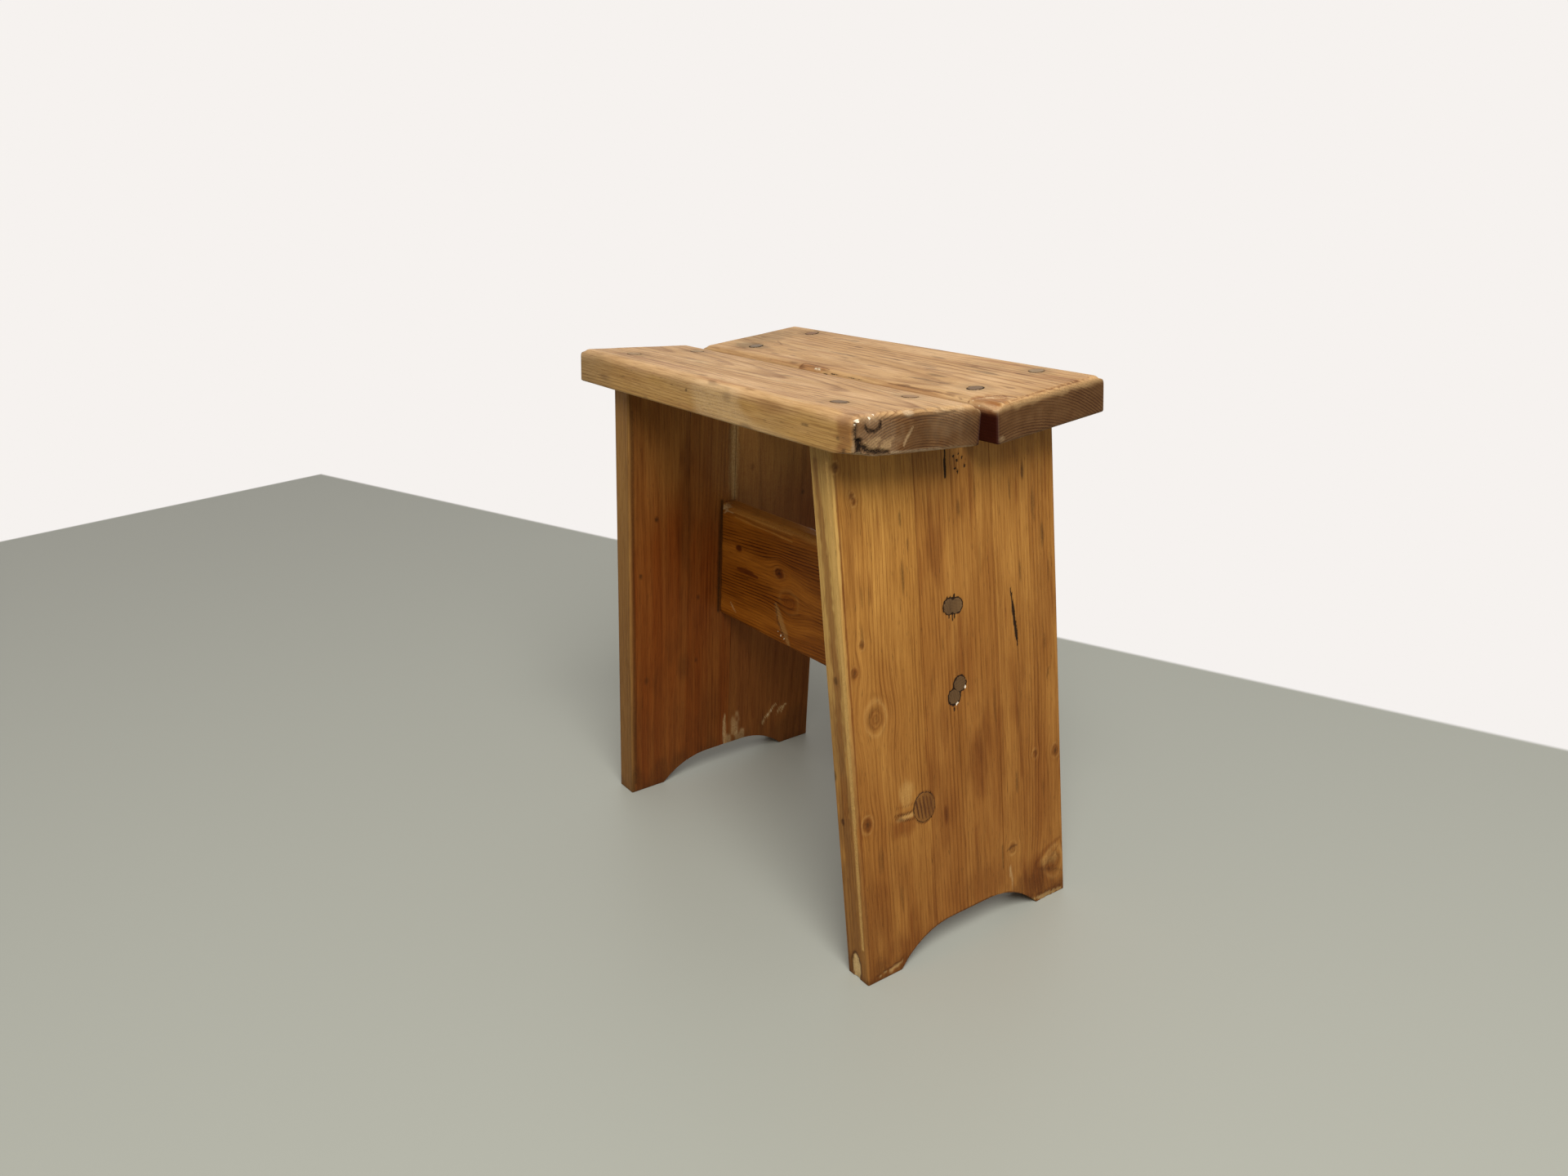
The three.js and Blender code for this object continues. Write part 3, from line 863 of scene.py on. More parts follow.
@dataclass(frozen=True)
class Plug(Part):
    """A round plug let into a face: a disc with a ragged, eased rim, as deep as its bore."""

    place: Place  # its top's middle
    inward: int  # the sign of through that leads into the wood
    radii: tuple[float, float]
    depth: float
    seed: int
    proud: float = 0.12
    ragged: float = 0.25
    lines: float = 2.2  # between its growth lines
    turn: float = 0.0  # its grain's angle to the host's, in degrees
    marks: tuple[Mark, ...] = ()

    SIDES = 84

    def build(self, host: Host) -> bpy.types.Object:
        """Turns a profile of shares of the radius and depths round the plug's axis.

        The rim's radius wanders with the angle. Each end is closed by a fan round its middle.

        Args:
            host: the piece that carries it.

        Returns:
            The mesh object.
        """
        ease = 0.3
        face = np.linspace(0, 0.94, max(9, round(1.6 * self.radii[0])))[1:]
        shares = np.concatenate([face, [0.98, 1.0, 1.0, 1.0, 0.97, 0.5]])
        wall = [ease / 3, ease, self.depth / 2, self.depth - ease, self.depth, self.depth]
        depths = np.concatenate([0 * face, wall])
        angles = np.linspace(0, 2 * np.pi, self.SIDES, endpoint=False)
        noise = SoftNoise(self.seed)
        round_rim = np.column_stack([np.cos(angles), np.sin(angles), np.zeros(self.SIDES)])
        wander = 1 + self.ragged / min(self.radii) * noise(round_rim * 8, (1.6, 1.6, 1.6))
        reach = shares[:, None] * np.where(shares[:, None] > 0.9, wander, 1)
        u = np.concatenate([[0], (reach * np.cos(angles)).ravel(), [0]]) * self.radii[0]
        v = np.concatenate([[0], (reach * np.sin(angles)).ravel(), [0]]) * self.radii[1]
        deep = np.concatenate([[0], np.repeat(depths, self.SIDES), [self.depth]]) - self.proud
        local = np.column_stack([u, deep * self.inward, v]) + self.place
        rows = np.arange(len(shares) * self.SIDES).reshape(len(shares), self.SIDES) + 1
        after = np.roll(rows, -1, axis=1)
        quads = np.stack([rows[:-1], rows[1:], after[1:], after[:-1]], axis=2).reshape(-1, 4)
        last = len(local) - 1
        fans = [np.column_stack([np.full(self.SIDES, 0), rows[0], after[0]]),
                np.column_stack([np.full(self.SIDES, last), after[-1], rows[-1]])]
        triangles = np.concatenate([quads[:, [0, 1, 2]], quads[:, [0, 2, 3]], *fans])
        skin = Skin(local, self.seed)
        rim = np.concatenate([[0], np.repeat(shares, self.SIDES), [0]])
        skin.paint(((CRACK, 0.75),), smooth((rim - 0.9) / 0.1))
        for mark in self.marks:
            mark.lay_on(skin)
        normals = corner_normals(local, triangles) * (1 if self.inward < 0 else -1)
        shaped = local - normals * skin.depth[:, None]
        lean = math.radians(self.turn)
        rings = (u * math.cos(lean) + v * math.sin(lean)) / self.lines
        rings += 0.25 * skin.noise(local, (4.0, 4.0, 9.0))
        return fill_mesh(self.name, host.to_world(shaped), triangles, skin, rings)


class Workshop:
    """Hands out each material once, and puts finished pieces in the frame."""

    def __init__(self) -> None:
        """Makes the materials."""
        self.pines = {pine: pine.value.material() for pine in Pine}
        self.steel = ZincSteel().material()

    def put(self, part: Part, host: Host) -> None:
        """Builds a part, and gives it its material and its place in the frame.

        Args:
            part: a piece of wood or a plug.
            host: the piece whose directions it is worked out in.
        """
        piece, node, slot = part.build(host), part.node, part.pine.value.slot
        piece.data.materials.append(self.pines[part.pine])
        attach(piece, "root")
        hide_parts(node)
        low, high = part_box(node)
        corners = np.array([list(corner) for corner in piece.bound_box])
        off = max(np.abs(corners.min(0) - low).max(), np.abs(corners.max(0) - high).max()) / MM
        log.info("%s: %d triangles, within %.2f mm of its solid", piece.name, len(piece.data.polygons), off)

    def plate(self, screw: bpy.types.Object) -> None:
        """Gives a screw's solid the zinc finish."""
        screw.data.materials.clear()
        screw.data.materials.append(self.steel)


@dataclass(frozen=True)
class Board(Host):
    """One seat board: across runs out from the gap, through runs up from its underside."""

    name: str
    side: int  # -1 is the front, 1 the rear
    height: float
    tilt: float
    screw_insets: tuple[float, float]
    plug_tones: tuple[Tones, ...]  # left inner, left outer, right inner, right outer
    length: float = 388.0
    width: float = 111.0
    thickness: float = 28.5
    gap: float = 18.8
    leg_setback: float = 12.4
    screw_along: float = 143.2
    top_round: float = 7.0
    bottom_round: float = 2.0
    corner_round: float = 1.8
    plug_radius: float = 6.0
    plug_depth: float = 8.0
    steps: Place = (1.0, 1.0, 1.4)

    def to_world(self, local: np.ndarray) -> np.ndarray:
        """Tilts the board up, away from the gap."""
        across, through, along = local.T
        sine, cosine = math.sin(self.tilt), math.cos(self.tilt)
        y = self.gap / 2 + across * cosine - through * sine
        return np.column_stack([along, self.side * y, self.height + across * sine + through * cosine])

    def limits(self, across: np.ndarray, through: np.ndarray) -> tuple[np.ndarray, np.ndarray]:
        """Both ends are square."""
        return np.full(len(across), -self.length / 2), np.full(len(across), self.length / 2)

    def underside(self, y: np.ndarray) -> np.ndarray:
        """The height of the board's underside, at places front to back."""
        return self.height + (np.abs(y) - self.gap / 2) * math.tan(self.tilt)

    def end(self, y: float, z: float) -> Place:
        """A place on the right end, from where it lies in the stool's frame."""
        over, up = abs(y) - self.gap / 2, z - self.height
        sine, cosine = math.sin(self.tilt), math.cos(self.tilt)
        across, through = over * cosine + up * sine, up * cosine - over * sine
        along = self.length / 2
        for into, radius in ((across - self.width, self.corner_round),
                             (through - self.thickness, self.top_round)):
            past = min(max(into + radius, 0), radius)
            along -= radius - math.sqrt(radius**2 - past**2)
        return across, through, along

    def edge(self, x: float, z: float) -> Place:
        """A place on the outer edge, from where it lies in the stool's frame."""
        up = z - self.height - self.width * math.sin(self.tilt)
        return self.width, up / math.cos(self.tilt), x

    def top(self, x: float, across: float) -> Place:
        """A place on top."""
        return across, self.thickness, x

    def blank(self) -> Blank:
        """The squared board."""
        half, top, low = self.length / 2, self.top_round, self.bottom_round
        return Blank((0, 0, -half), (self.width, self.thickness, half), (low, low, top, top), (low, top),
                     (self.corner_round * 0.4, self.corner_round), self.steps)

    def plug_places(self) -> dict[str, Place]:
        """Where the plugs are, by the ends of their names."""
        inner, outer = self.screw_insets
        places = {"inner": inner, "outer": self.width - self.leg_setback - outer}
        ends = {"left": -self.screw_along, "right": self.screw_along}
        return {f"{end}_{name}": (across, self.thickness, along)
                for (end, along), (name, across) in product(ends.items(), places.items())}

    def build(self, shop: Workshop, wood: Wood) -> None:
        """Makes the board and its plugs."""
        shop.put(wood, self)
        for number, (ends, place) in enumerate(self.plug_places().items()):
            shop.put(Plug(f"seat_plug_{self.name}_{ends}", Pine.SEAT_PLUG, place, -1, (self.plug_radius,) * 2,
                          self.plug_depth, 100 + 10 * self.side + number,
                          marks=(Tint(self.plug_tones[number]),)), self)
            shop.plate(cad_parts[f"seat_screw_{self.name}_{ends}"])

    def plug_rims(self) -> tuple[Mark, ...]:
        """A dark line and a handled, greyish halo round each plug, fainter where the plug has worn pale."""
        marks: list[Mark] = []
        for place, tones in zip(self.plug_places().values(), self.plug_tones):
            faint = any(mask is GOLD for mask, _ in tones)
            line = ((DARK, 0.5), (WARM, 0.3)) if faint else GRIME
            marks.append(Rim(place, (self.plug_radius,) * 2, 0.9, line))
            marks.append(Spot(place, (11, 5, 15), ((GREY, 0.25), (DARK, 0.12)), edge=1.2, ragged=0.3))
        return tuple(marks)


@dataclass(frozen=True)
class Seat:
    """Two boards that rise outwards from the gap between them."""

    front: Board = Board("front", -1, 402.5, math.radians(3.9), (21.1, 14.2), (
        ((GOLD, 0.5), (PALE, 0.35)), ((GOLD, 0.3), (RUB_AND_HIGHLIGHT, 0.3)),
        ((GOLD, 0.5), (WARM, 0.35)), ((GREY, 0.4), (DARK, 0.3))))
    rear: Board = Board("rear", 1, 400.0, math.radians(4.8), (28.3, 5.9), (
        ((GREY, 0.7), (DARK, 0.1)), ((WARM, 0.4), (DARK, 0.25)),
        ((GREY, 0.3), (DARK, 0.4)), ((GOLD, 0.4), (GREY, 0.4))))

    def top_of_leg(self, y: np.ndarray, seating: float) -> np.ndarray:
        """The height under the seat: each board's underside, and a straight line across the gap."""
        half = self.front.gap / 2
        lift = self.front.height - self.rear.height
        across_gap = self.rear.height + lift * (half - y) / (2 * half)
        over = np.where(y > half, self.rear.underside(y), across_gap)
        return np.where(y < -half, self.front.underside(y), over) - seating

    def shared_marks(self, board: Board) -> tuple[Mark, ...]:
        """What both boards have: handling along the top, painted shade deep in the gap, and an unfinished underside.
        """
        top = board.thickness
        return (
            Cloud((16, 16, 110), 0.2, 0.7, ((DARK, 0.08), (WARM, 0.2))),
            Cloud((3, 20, 80), 0.35, 0.35, ((WARM, 0.4), (DARK, 0.08)), shift=300),
            Cloud((2.2, 10, 24), 0.55, 0.25, ((DARK, 0.42), (WARM, 0.2)), shift=700),
            Cloud((3.5, 20, 90), 0.35, 0.35, ((PALE, 0.3),), shift=1500),
            Cloud((20, 20, 60), 0.35, 0.5, ((GREY, 0.2),), shift=1100),
            Fade(((THROUGH, top - 1, top - 12), (ACROSS, board.width - 6, board.width)),
                 ((GOLD, 0.95), (WARM, 0.1)), ragged=0.3),
            # Painted shade in the gap between the boards: dark red, deepest below the top
            Fade(((ACROSS, 3.0, 0.3), (THROUGH, top - 2, top - 9)), ((GAP_SHADE, 0.97), (WARM, 0.9))),
            Fade(((THROUGH, 1.0, 0.2),), ((WARM, 0.3), (DARK, 0.2)), ragged=0.3),
        ) + board.plug_rims()

    def front_wood(self) -> Wood:
        """The front board: plain on top, torn and grey at its right end."""
        board = self.front
        end = board.end
        half = board.length / 2
        worn: Tones = ((GREY, 0.5), (DARK, 0.25))
        crevices = (
            (((-118.2, 433.5), (-119.2, 428.6), (-119, 424.5), (-116.4, 420.5), (-114.6, 413.4)), 5.0, 1.6),
            (((-109.6, 431.4), (-110, 429), (-106.8, 426.6), (-101.5, 426.2), (-97.9, 427.9), (-97, 432)),
             2.6, 0.5),
            (((-114.9, 422), (-112.4, 416.8), (-106.9, 413.4), (-100.2, 411.8), (-90.5, 410.4)), 4.2, 1.2),
        )
        under_top = ((-94.2, 432.7), (-83.6, 432.6), (-75.5, 431.9), (-67.4, 430.4), (-55.4, 429.5),
                     (-43.3, 429.6), (-30.1, 430))
        low_arris = ((-88.6, 409.5), (-66.8, 407.6), (-38.7, 405.1), (-9.3, 402.6))
        light_line = ((-78.6, 412.5), (-74.6, 418.9), (-70, 424.7))
        burnt_line = ((-83.4, 412.5), (-79.5, 419.5), (-75.4, 427.5))
        flecks = ((-116.4, 435.2, 1.7), (-119.2, 432.6, 1.2), (-106, 435.2, 1.0), (-101, 436.4, 0.8))
        marks = [
            Fade(((ALONG, half - 3, half),), ((GREY, 0.2), (DARK, 0.12)), ragged=0.2, cell=(9, 9, 9)),
            Spot(end(-64, 419), (14, 14, 5), ((WARM, 0.3), (DARK, 0.4)), edge=1.2, ragged=0.2),
            Spot(end(-38, 424), (18, 10, 5), ((GREY, 0.65), (PALE, 0.1)), edge=1.2, ragged=0.3),
            Spot(end(-28, 414), (24, 10, 5), ((DARK, 0.4),), edge=1.2, ragged=0.3),
            Spot(end(-14, 417), (10, 16, 5), ((DARK, 0.25),), edge=1.0, ragged=0.2),
            Spot(end(-102, 421), (21, 15, 6), ((GREY, 0.85), (PALE, 0.12)), depth=0.5, edge=0.5, ragged=0.3,
                 cell=5),
            Spot(end(-104, 418), (7, 4, 5), ((RUB_AND_HIGHLIGHT, 0.3), (WARM, 0.5)), ragged=0.6),
            Spot(end(-93, 416), (6, 5, 5), ((RUB_AND_HIGHLIGHT, 0.35), (WARM, 0.3)), ragged=0.6),
            Spot(end(-38, 434), (26, 4, 5), ((RUB_AND_HIGHLIGHT, 0.5), (WARM, 0.25)), edge=0.8, ragged=0.3),
            Spot(end(-72.4, 434.2), (5, 3, 3), ((PALE, 0.6), (WARM, 0.4)), ragged=0.3),
            Spot(board.edge(185, 425), (3, 15, 9), ((WARM, 0.5), (DARK, 0.25)), edge=1.0, ragged=0.4),
            Spot((100, 27, 182), (12, 5, 12), ((WARM, 0.5), (PALE, 0.25)), 0.5, edge=0.9, ragged=0.5),
            Line(tuple(end(*p) for p in under_top), 2.6, ((DARK, 0.6), (WARM, 0.4)), 0.3),
            Line(tuple(end(*p) for p in low_arris), 2.2, ((PALE, 0.4),)),
            Line(tuple(end(*p) for p in burnt_line), 8.0, ((GOLD, 0.6), (WARM, 0.75)), ragged=0.4),
            Line(tuple(end(*p) for p in light_line), 1.8, ((PALE, 0.2), (RUB_AND_HIGHLIGHT, 0.55)), -0.2),
            Spot(board.edge(-13, 426.4), (2, 1.2, 1.6), ((DARK, 0.8),), 0.2),
            Spot(board.edge(140.5, 424.2), (2, 1.2, 4), ((DARK, 0.55),), ragged=0.3),
            Spot(board.edge(176.9, 421.2), (2, 1.4, 1.8), ((DARK, 0.6),)),
            Spot(board.edge(183.5, 413.8), (2, 1.6, 2.2), ((DARK, 0.7),)),
            Spot(board.top(-82, 58), (5, 4, 16), ((PALE, 0.5),), edge=1.0, ragged=0.4),
            Fade(((ALONG, -120, -185), (ACROSS, board.width - 6, board.width)), ((GREY, 0.3), (DARK, 0.15)),
                 ragged=0.2),
        ]
        marks += [Line(tuple(end(*p) for p in chain), width, ((DARK, 0.95), (CRACK, 0.48)), depth, 0.3, 0.5)
                  for chain, width, depth in crevices]
        marks += [Spot(end(y, z), (size, size, 2), ((FLECK, 1.0),), edge=0.5, ragged=0.3, cell=1.5)
                  for y, z, size in flecks]
        for across in (1.5, 3.8):
            marks.append(Line((board.top(50, across), board.top(120, across + 0.6), board.top(183, across)), 1.0,
                              ((DARK, 0.45), (WARM, 0.3)), 0.25))
        cut = corner_cut((board.width, 0, half), (-22, 4.5, -32), rough=0.5, tones=worn)
        grain = Grain((48, -62), 1.9, (0.02, -0.02), wave=1.6)
        return Wood("seat_board_front", Pine.SEAT, board.blank(), grain, 11, (cut,),
                    self.shared_marks(board) + tuple(marks))

    def rear_wood(self) -> Wood:
        """The rear board: a torn inner edge, a lost corner at the gap and fine rings at its right end."""
        board = self.rear
        top, half = board.thickness, board.length / 2
        streaks = (
            (-36, 50, 15, 1.6), (112, 67, 14, 3.0), (89, 39.5, 12, 2.6), (89, 25, 14, 2.0), (114, 25.5, 9, 1.6),
            (-20, 78, 12, 1.2), (40, 85, 10, 1.0), (10, 60, 16, 1.2), (-80, 90, 12, 1.2), (60, 58, 9, 1.2),
        )
        marks = [Spot(board.top(x, across), (width, 3, length), ((DARK, 0.5),), edge=0.9, ragged=0.5)
                 for x, across, length, width in streaks]
        tip, arms = board.top(-124, 44), (board.top(-146, 54), board.top(-134, 37))
        marks += [Line((tip, arm), 1.3, ((DARK, 0.35), (WARM, 0.4))) for arm in arms]
        marks += [
            Spot(board.top(-154, 25), (10, 4, 20), ((GREY, 0.6), (DARK, 0.15)), edge=1.0, ragged=0.3),
            Spot(board.top(-170, 60), (30, 4, 22), ((GREY, 0.4), (DARK, 0.12)), edge=1.2, ragged=0.3),
            Spot((4.5, top - 1, -23), (4.5, 6, 18), ((WARM, 0.55), (GOLD, 0.3)), edge=0.4, ragged=0.2),
            Line(((0.6, top - 7, -41), (3.5, top - 0.6, -40.5), (8.6, top, -40)), 1.8,
                 ((DARK, 0.6), (WARM, 0.8)), 0.6, taper=0.2),
            Line(((9.2, top, -41), (8.6, top, -22), (6.0, top, -4)), 1.7, ((DARK, 0.65), (WARM, 0.6)), 0.3),
            Line(((4.4, top - 0.6, -37), (4.8, top - 0.4, -22), (3.4, top - 0.8, -6)), 1.2, ((DARK, 0.5),), 0.3),
            Line(((0.8, top - 3, -8), (1.4, top - 1.2, 10), (1.2, top - 1.2, 35), (2.4, top - 0.8, 62)), 2.2,
                 ((CRACK, 0.9), (DARK, 0.5)), 0.5),
            Line(((3.2, top - 1.0, -20), (3.4, top - 0.8, -16.5), (3.0, top - 1.0, -13)), 3.2,
                 ((PALE, 0.9), (FLECK, 0.4)), -0.6),
            Spot((7, top - 1, 177), (13, 6, 14), ((WARM, 0.6), (GOLD, 0.5)), 0.4, edge=0.6, ragged=0.6),
            Line(((1, top - 2, 160), (4, top, 150), (5, top, 120), (3, top, 60)), 2.0,
                 ((DARK, 0.6), (WARM, 0.4)), 0.3),
            Line(((8, top, 158), (10, top, 150), (10.5, top, 118)), 1.6, ((GOLD, 0.6), (RUB_AND_HIGHLIGHT, 0.4)), -0.2),
            Line(((4, top - 1, 166), (12, top - 0.6, 172), (20, top, 182)), 2.2, ((PALE, 0.8),), -0.3),
            Line(((1, top - 3, 174), (8, top - 2.2, 180), (14, top - 2, 190)), 2.2, ((PALE, 0.7), (WARM, 0.4))),
            Line(((2, top - 2, 163), (14, top - 0.5, 166), (23, top, 176), (25, top, 188)), 1.6,
                 ((DARK, 0.6), (WARM, 0.7)), 0.3, 0.4, 0.6),
            Spot((7.3, top - 2.5, half - 8), (2.0, 1.4, 2.4), ((FLECK, 0.85),), edge=0.5, ragged=0.5, cell=1.6),
            Spot((15.4, top - 1.5, half - 5), (1.2, 1.0, 1.6), ((FLECK, 0.8),), edge=0.5, ragged=0.5, cell=1.6),
            Fade(((ALONG, half - 3, half),), ((DARK, 0.5), (WARM, 0.3)), ragged=0.1),
            Line(((18, top - 0.8, half - 4), (50, top - 0.5, half - 5), (80, top - 0.8, half - 4),
                  (105, top - 1, half - 5)), 1.6, ((DARK, 0.35), (WARM, 0.5)), 0.2, ragged=0.8),
            Fade(((ALONG, half - 5, half - 1), (THROUGH, top - 7, top - 4)), ((RUB_AND_HIGHLIGHT, 0.5), (WARM, 0.3)),
                 ragged=0.6, cell=(5, 5, 5)),
            Spot((3, 3.5, half), (3, 2, 2), ((PALE, 0.2), (RUB_AND_HIGHLIGHT, 0.3)), edge=0.8, ragged=0.5, cell=1.5),
            Line(((0.5, 1, half), (0.4, 12, half), (0.6, 24, half)), 1.4, ((PALE, 0.5), (GOLD, 0.4))),
        ]
        cuts = (
            corner_cut((0, top, half), (17, -5, -28), rough=0.8, cell=(5, 5, 9),
                       tones=((WARM, 0.4), (GOLD, 0.5))),
            Cut((0, top - 5.5, -40), (-5.5 / 6.5, 1, -5.5 / 33), rough=0.5, cell=(2.5, 2.5, 14),
                tones=((WARM, 0.6), (DARK, 0.35)), start=-40),
        )
        grain = Grain((22, -95), 2.1, (0.0, -0.02), wave=0.9)
        return Wood("seat_board_rear", Pine.SEAT, board.blank(), grain, 12, cuts,
                    self.shared_marks(board) + tuple(marks))

    def build(self, shop: Workshop) -> None:
        """Makes both boards with their plugs."""
        self.front.build(shop, self.front_wood())
        self.rear.build(shop, self.rear_wood())


@dataclass(frozen=True)
class Stave:
    """One of the three planks that a leg is glued up from."""

    name: str
    start: float  # across
    end: float
    grain: Grain
    seed: int
    tones: Tones = ()


@dataclass(frozen=True)
class Leg(Host):
    """A splayed panel of three staves: across runs front to back, through runs inwards, along runs up."""

    name: str
    side: int  # 1 is the right leg, whose outer face shows
    staves: tuple[Stave, ...]
    steps: Place
    seat: Seat
    width: float = 216.0
    thickness: float = 24.4
    splay: float = math.radians(6.15)
    height: float = 400.0
    reach: float = 154.4
    edge_round: float = 1.8
    arch_height: float = 24.2
    arch_flat: float = 40.0
    arch_radius: float = 72.7
    seating: float = 0.3
    seam_ease: float = 0.2
    plug_radius: float = 6.0
    plug_depth: float = 8.0
    plug_across: float = -0.7
    plug_heights: tuple[float, float] = (275.0, 213.5)
    old_plug_steps: tuple[tuple[float, float], tuple[float, float]] = ((-0.57, 0.07), (-0.52, -0.75))
    patch_place: tuple[float, float] = (-42.8, 125.8)
    patch_radii: tuple[float, float] = (10.7, 12.3)
    patch_depth: float = 10.0
    end_round: float = 0.8

    SCREWS = ("upper", "lower")

    def to_world(self, local: np.ndarray) -> np.ndarray:
        """Leans the panel out towards the floor."""
        across, through, along = local.T
        sine, cosine = math.sin(self.splay), math.cos(self.splay)
        x = self.reach - cosine * through - sine * along
        return np.column_stack([self.side * x, across, self.height - sine * through + cosine * along])

    def limits(self, across: np.ndarray, through: np.ndarray) -> tuple[np.ndarray, np.ndarray]:
        """From the floor, or the arch's flat middle and quarter rounds, up to the seat."""
        sine, cosine = math.sin(self.splay), math.cos(self.splay)
        floor = (sine * through - self.height) / cosine
        off = np.maximum(np.abs(across) - self.arch_flat / 2, 0)
        round_part = np.sqrt(np.maximum(self.arch_radius**2 - off**2, 0))
        arch = -self.height / cosine + self.arch_height - self.arch_radius + round_part
        top = self.seat.top_of_leg(across, self.seating)
        return np.maximum(floor, arch), (top - self.height + sine * through) / cosine

    def outer(self, y: float, z: float) -> Place:
        """A place on the outer face, from where it lies in the stool's frame."""
        return y, 0.0, (z - self.height) / math.cos(self.splay)

    def inner(self, y: float, z: float) -> Place:
        """A place on the inner face."""
        along = (z - self.height + math.sin(self.splay) * self.thickness) / math.cos(self.splay)
        return y, self.thickness, along

    def front(self, through: float, z: float) -> Place:
        """A place on the front edge."""
        return -self.width / 2, through, (z - self.height) / math.cos(self.splay)

    def plugs(self) -> list[Plug]:
        """The plugs over the stretcher's screws, and on the right leg the older ones and the knot patch."""
        made = []
        radii = (self.plug_radius,) * 2
        for number, (name, z) in enumerate(zip(self.SCREWS, self.plug_heights)):
            place = self.outer(self.plug_across, z)
            made.append(Plug(f"{self.name}_stretcher_plug_{name}", Pine.PLUG, place, 1, radii, self.plug_depth,
                             200 + 10 * self.side + number, ragged=0.45, turn=70 + 30 * number))
            if self.side > 0:
                over, up = (2 * self.plug_radius * step for step in self.old_plug_steps[number])
                older = (place[0] + over, 0.0, place[2] + up)
                made.append(Plug(f"right_old_plug_{name}", Pine.PLUG, older, 1, radii, self.plug_depth,
                                 230 + number, proud=0.04, ragged=0.45, turn=20))
        if self.side > 0:
            place = self.outer(*self.patch_place)
            made.append(Plug("right_leg_knot_patch", Pine.PATCH, place, 1, self.patch_radii, self.patch_depth,
                             240, proud=0.1, ragged=0.4, lines=8.0, turn=-14, marks=self.patch_stripes(place)))
        return made

    def patch_stripes(self, place: Place) -> tuple[Mark, ...]:
        """Five dark lines that lean across the patch, as long as its ellipse lets them be.

        Args:
            place: the patch's middle.

        Returns:
            The lines, bolder on the left.
        """
        wide, tall = self.patch_radii
        lean = tall / 12
        stripes = []
        for step in range(-2, 3):
            over = step * wide / 3.1
            reach = 0.75 * tall * math.sqrt(1 - (over / wide) ** 2)
            top = (place[0] + over - lean, 0.0, place[2] + reach)
            foot = (place[0] + over + lean, 0.0, place[2] - reach)
            tones = ((DARK, 0.7 - 0.12 * step), (WARM, 0.5))
            stripes.append(Line((top, foot), 1.5, tones, 0.1, 0.5, 0.3))
        return tuple(stripes)

    def plug_rims(self) -> tuple[Mark, ...]:
        """The ragged dark line that glue and dirt drew round each plug, and the patch's thin brown one."""
        plugs = [Rim(plug.place, plug.radii, 1.0, GRIME, 0.9) for plug in self.plugs() if plug.pine is Pine.PLUG]
        patches = [Rim(plug.place, plug.radii, 1.0, ((DARK, 0.65), (WARM, 0.5)), 0.2)
                   for plug in self.plugs() if plug.pine is Pine.PATCH]
        return tuple(plugs + patches)

    def shared_marks(self) -> tuple[Mark, ...]:
        """What both legs have: red-brown inner faces, partly painted shade from the seat, dark glue seams, and feet
        that dirt has reached.
        """
        thick, half = self.thickness, self.width / 2
        inside = ((THROUGH, thick - 4, thick - 0.5), (ACROSS, -half, -half + 3), (ACROSS, half, half - 3))
        marks: list[Mark] = [
            # The inner faces: red-brown that is partly their own tone and partly painted shade from the seat,
            # stronger lower down
            Fade(inside, ((WARM, 0.6), (GREY, 0.15))),
            Fade(inside + ((ALONG, -50, -150),), ((WARM, 0.99),), ragged=0.3, cell=(30, 30, 60)),
            Cloud((12, 40, 120), 0.1, 0.8, ((WARM, 0.25),), shift=60),
            Cloud((4, 40, 45), 0.5, 0.35, ((WARM, 0.4), (DARK, 0.08)), shift=410),
            Fade(((ALONG, 30, -330), (THROUGH, 3, 0)), ((WARM, 0.42), (DARK, 0.1))),
            Fade(((ALONG, -388, -402),), ((WARM, 0.5), (DARK, 0.3)), ragged=0.6, cell=(9, 9, 9)),
        ]
        for seam in (self.staves[0].end, self.staves[1].end):
            marks += [Fade(((ACROSS, seam - 0.9, seam - 0.1), (ACROSS, seam + 1.0, seam + 0.2)),
                           ((DARK, 0.1), (WARM, 0.3)), ragged=0.3)]
        return tuple(marks)

    def chips(self, chain: tuple[tuple[float, float], ...], width: float) -> tuple[Mark, ...]:
        """A knocked arris on the outer face: a pale broken band with a dark line above it.

        Args:
            chain: where it runs in the stool's frame, front to back and up.
            width: of the pale band.

        Returns:
            The band and its line.
        """
        band = tuple(self.outer(y, z) for y, z in chain)
        line = tuple(self.outer(y, z + 1.3 * width) for y, z in chain)
        return (Line(band, width, ((PALE, 0.4), (RUB_AND_HIGHLIGHT, 0.6)), 0.5, ragged=1.5),
                Line(line, 0.6 * width, ((DARK, 0.4), (WARM, 0.6)), 0.2, ragged=1.2))

    def build(self, shop: Workshop, marks: tuple[Mark, ...]) -> None:
        """Makes the staves and plugs.

        Args:
            shop: finishes them.
            marks: laid on every stave, where they reach it.
        """
        bottom = -self.height / math.cos(self.splay)
        for stave in self.staves:
            eased = [self.edge_round if abs(abs(y) - self.width / 2) < 0.01 else self.seam_ease
                     for y in (stave.start, stave.end)]
            rounds = (eased[0], eased[1], eased[1], eased[0])
            blank = Blank((stave.start, 0, bottom), (stave.end, self.thickness, 0), rounds,
                          (self.end_round,) * 2, (self.end_round,) * 2, self.steps)
            shop.put(Wood(f"{self.name}_leg_stave_{stave.name}", Pine.LEG, blank, stave.grain, stave.seed, (),
                          (Tint(stave.tones),) + self.shared_marks() + marks), self)
        for plug in self.plugs():
            shop.put(plug, self)
        for name in self.SCREWS:
            shop.plate(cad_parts[f"{self.name}_stretcher_screw_{name}"])


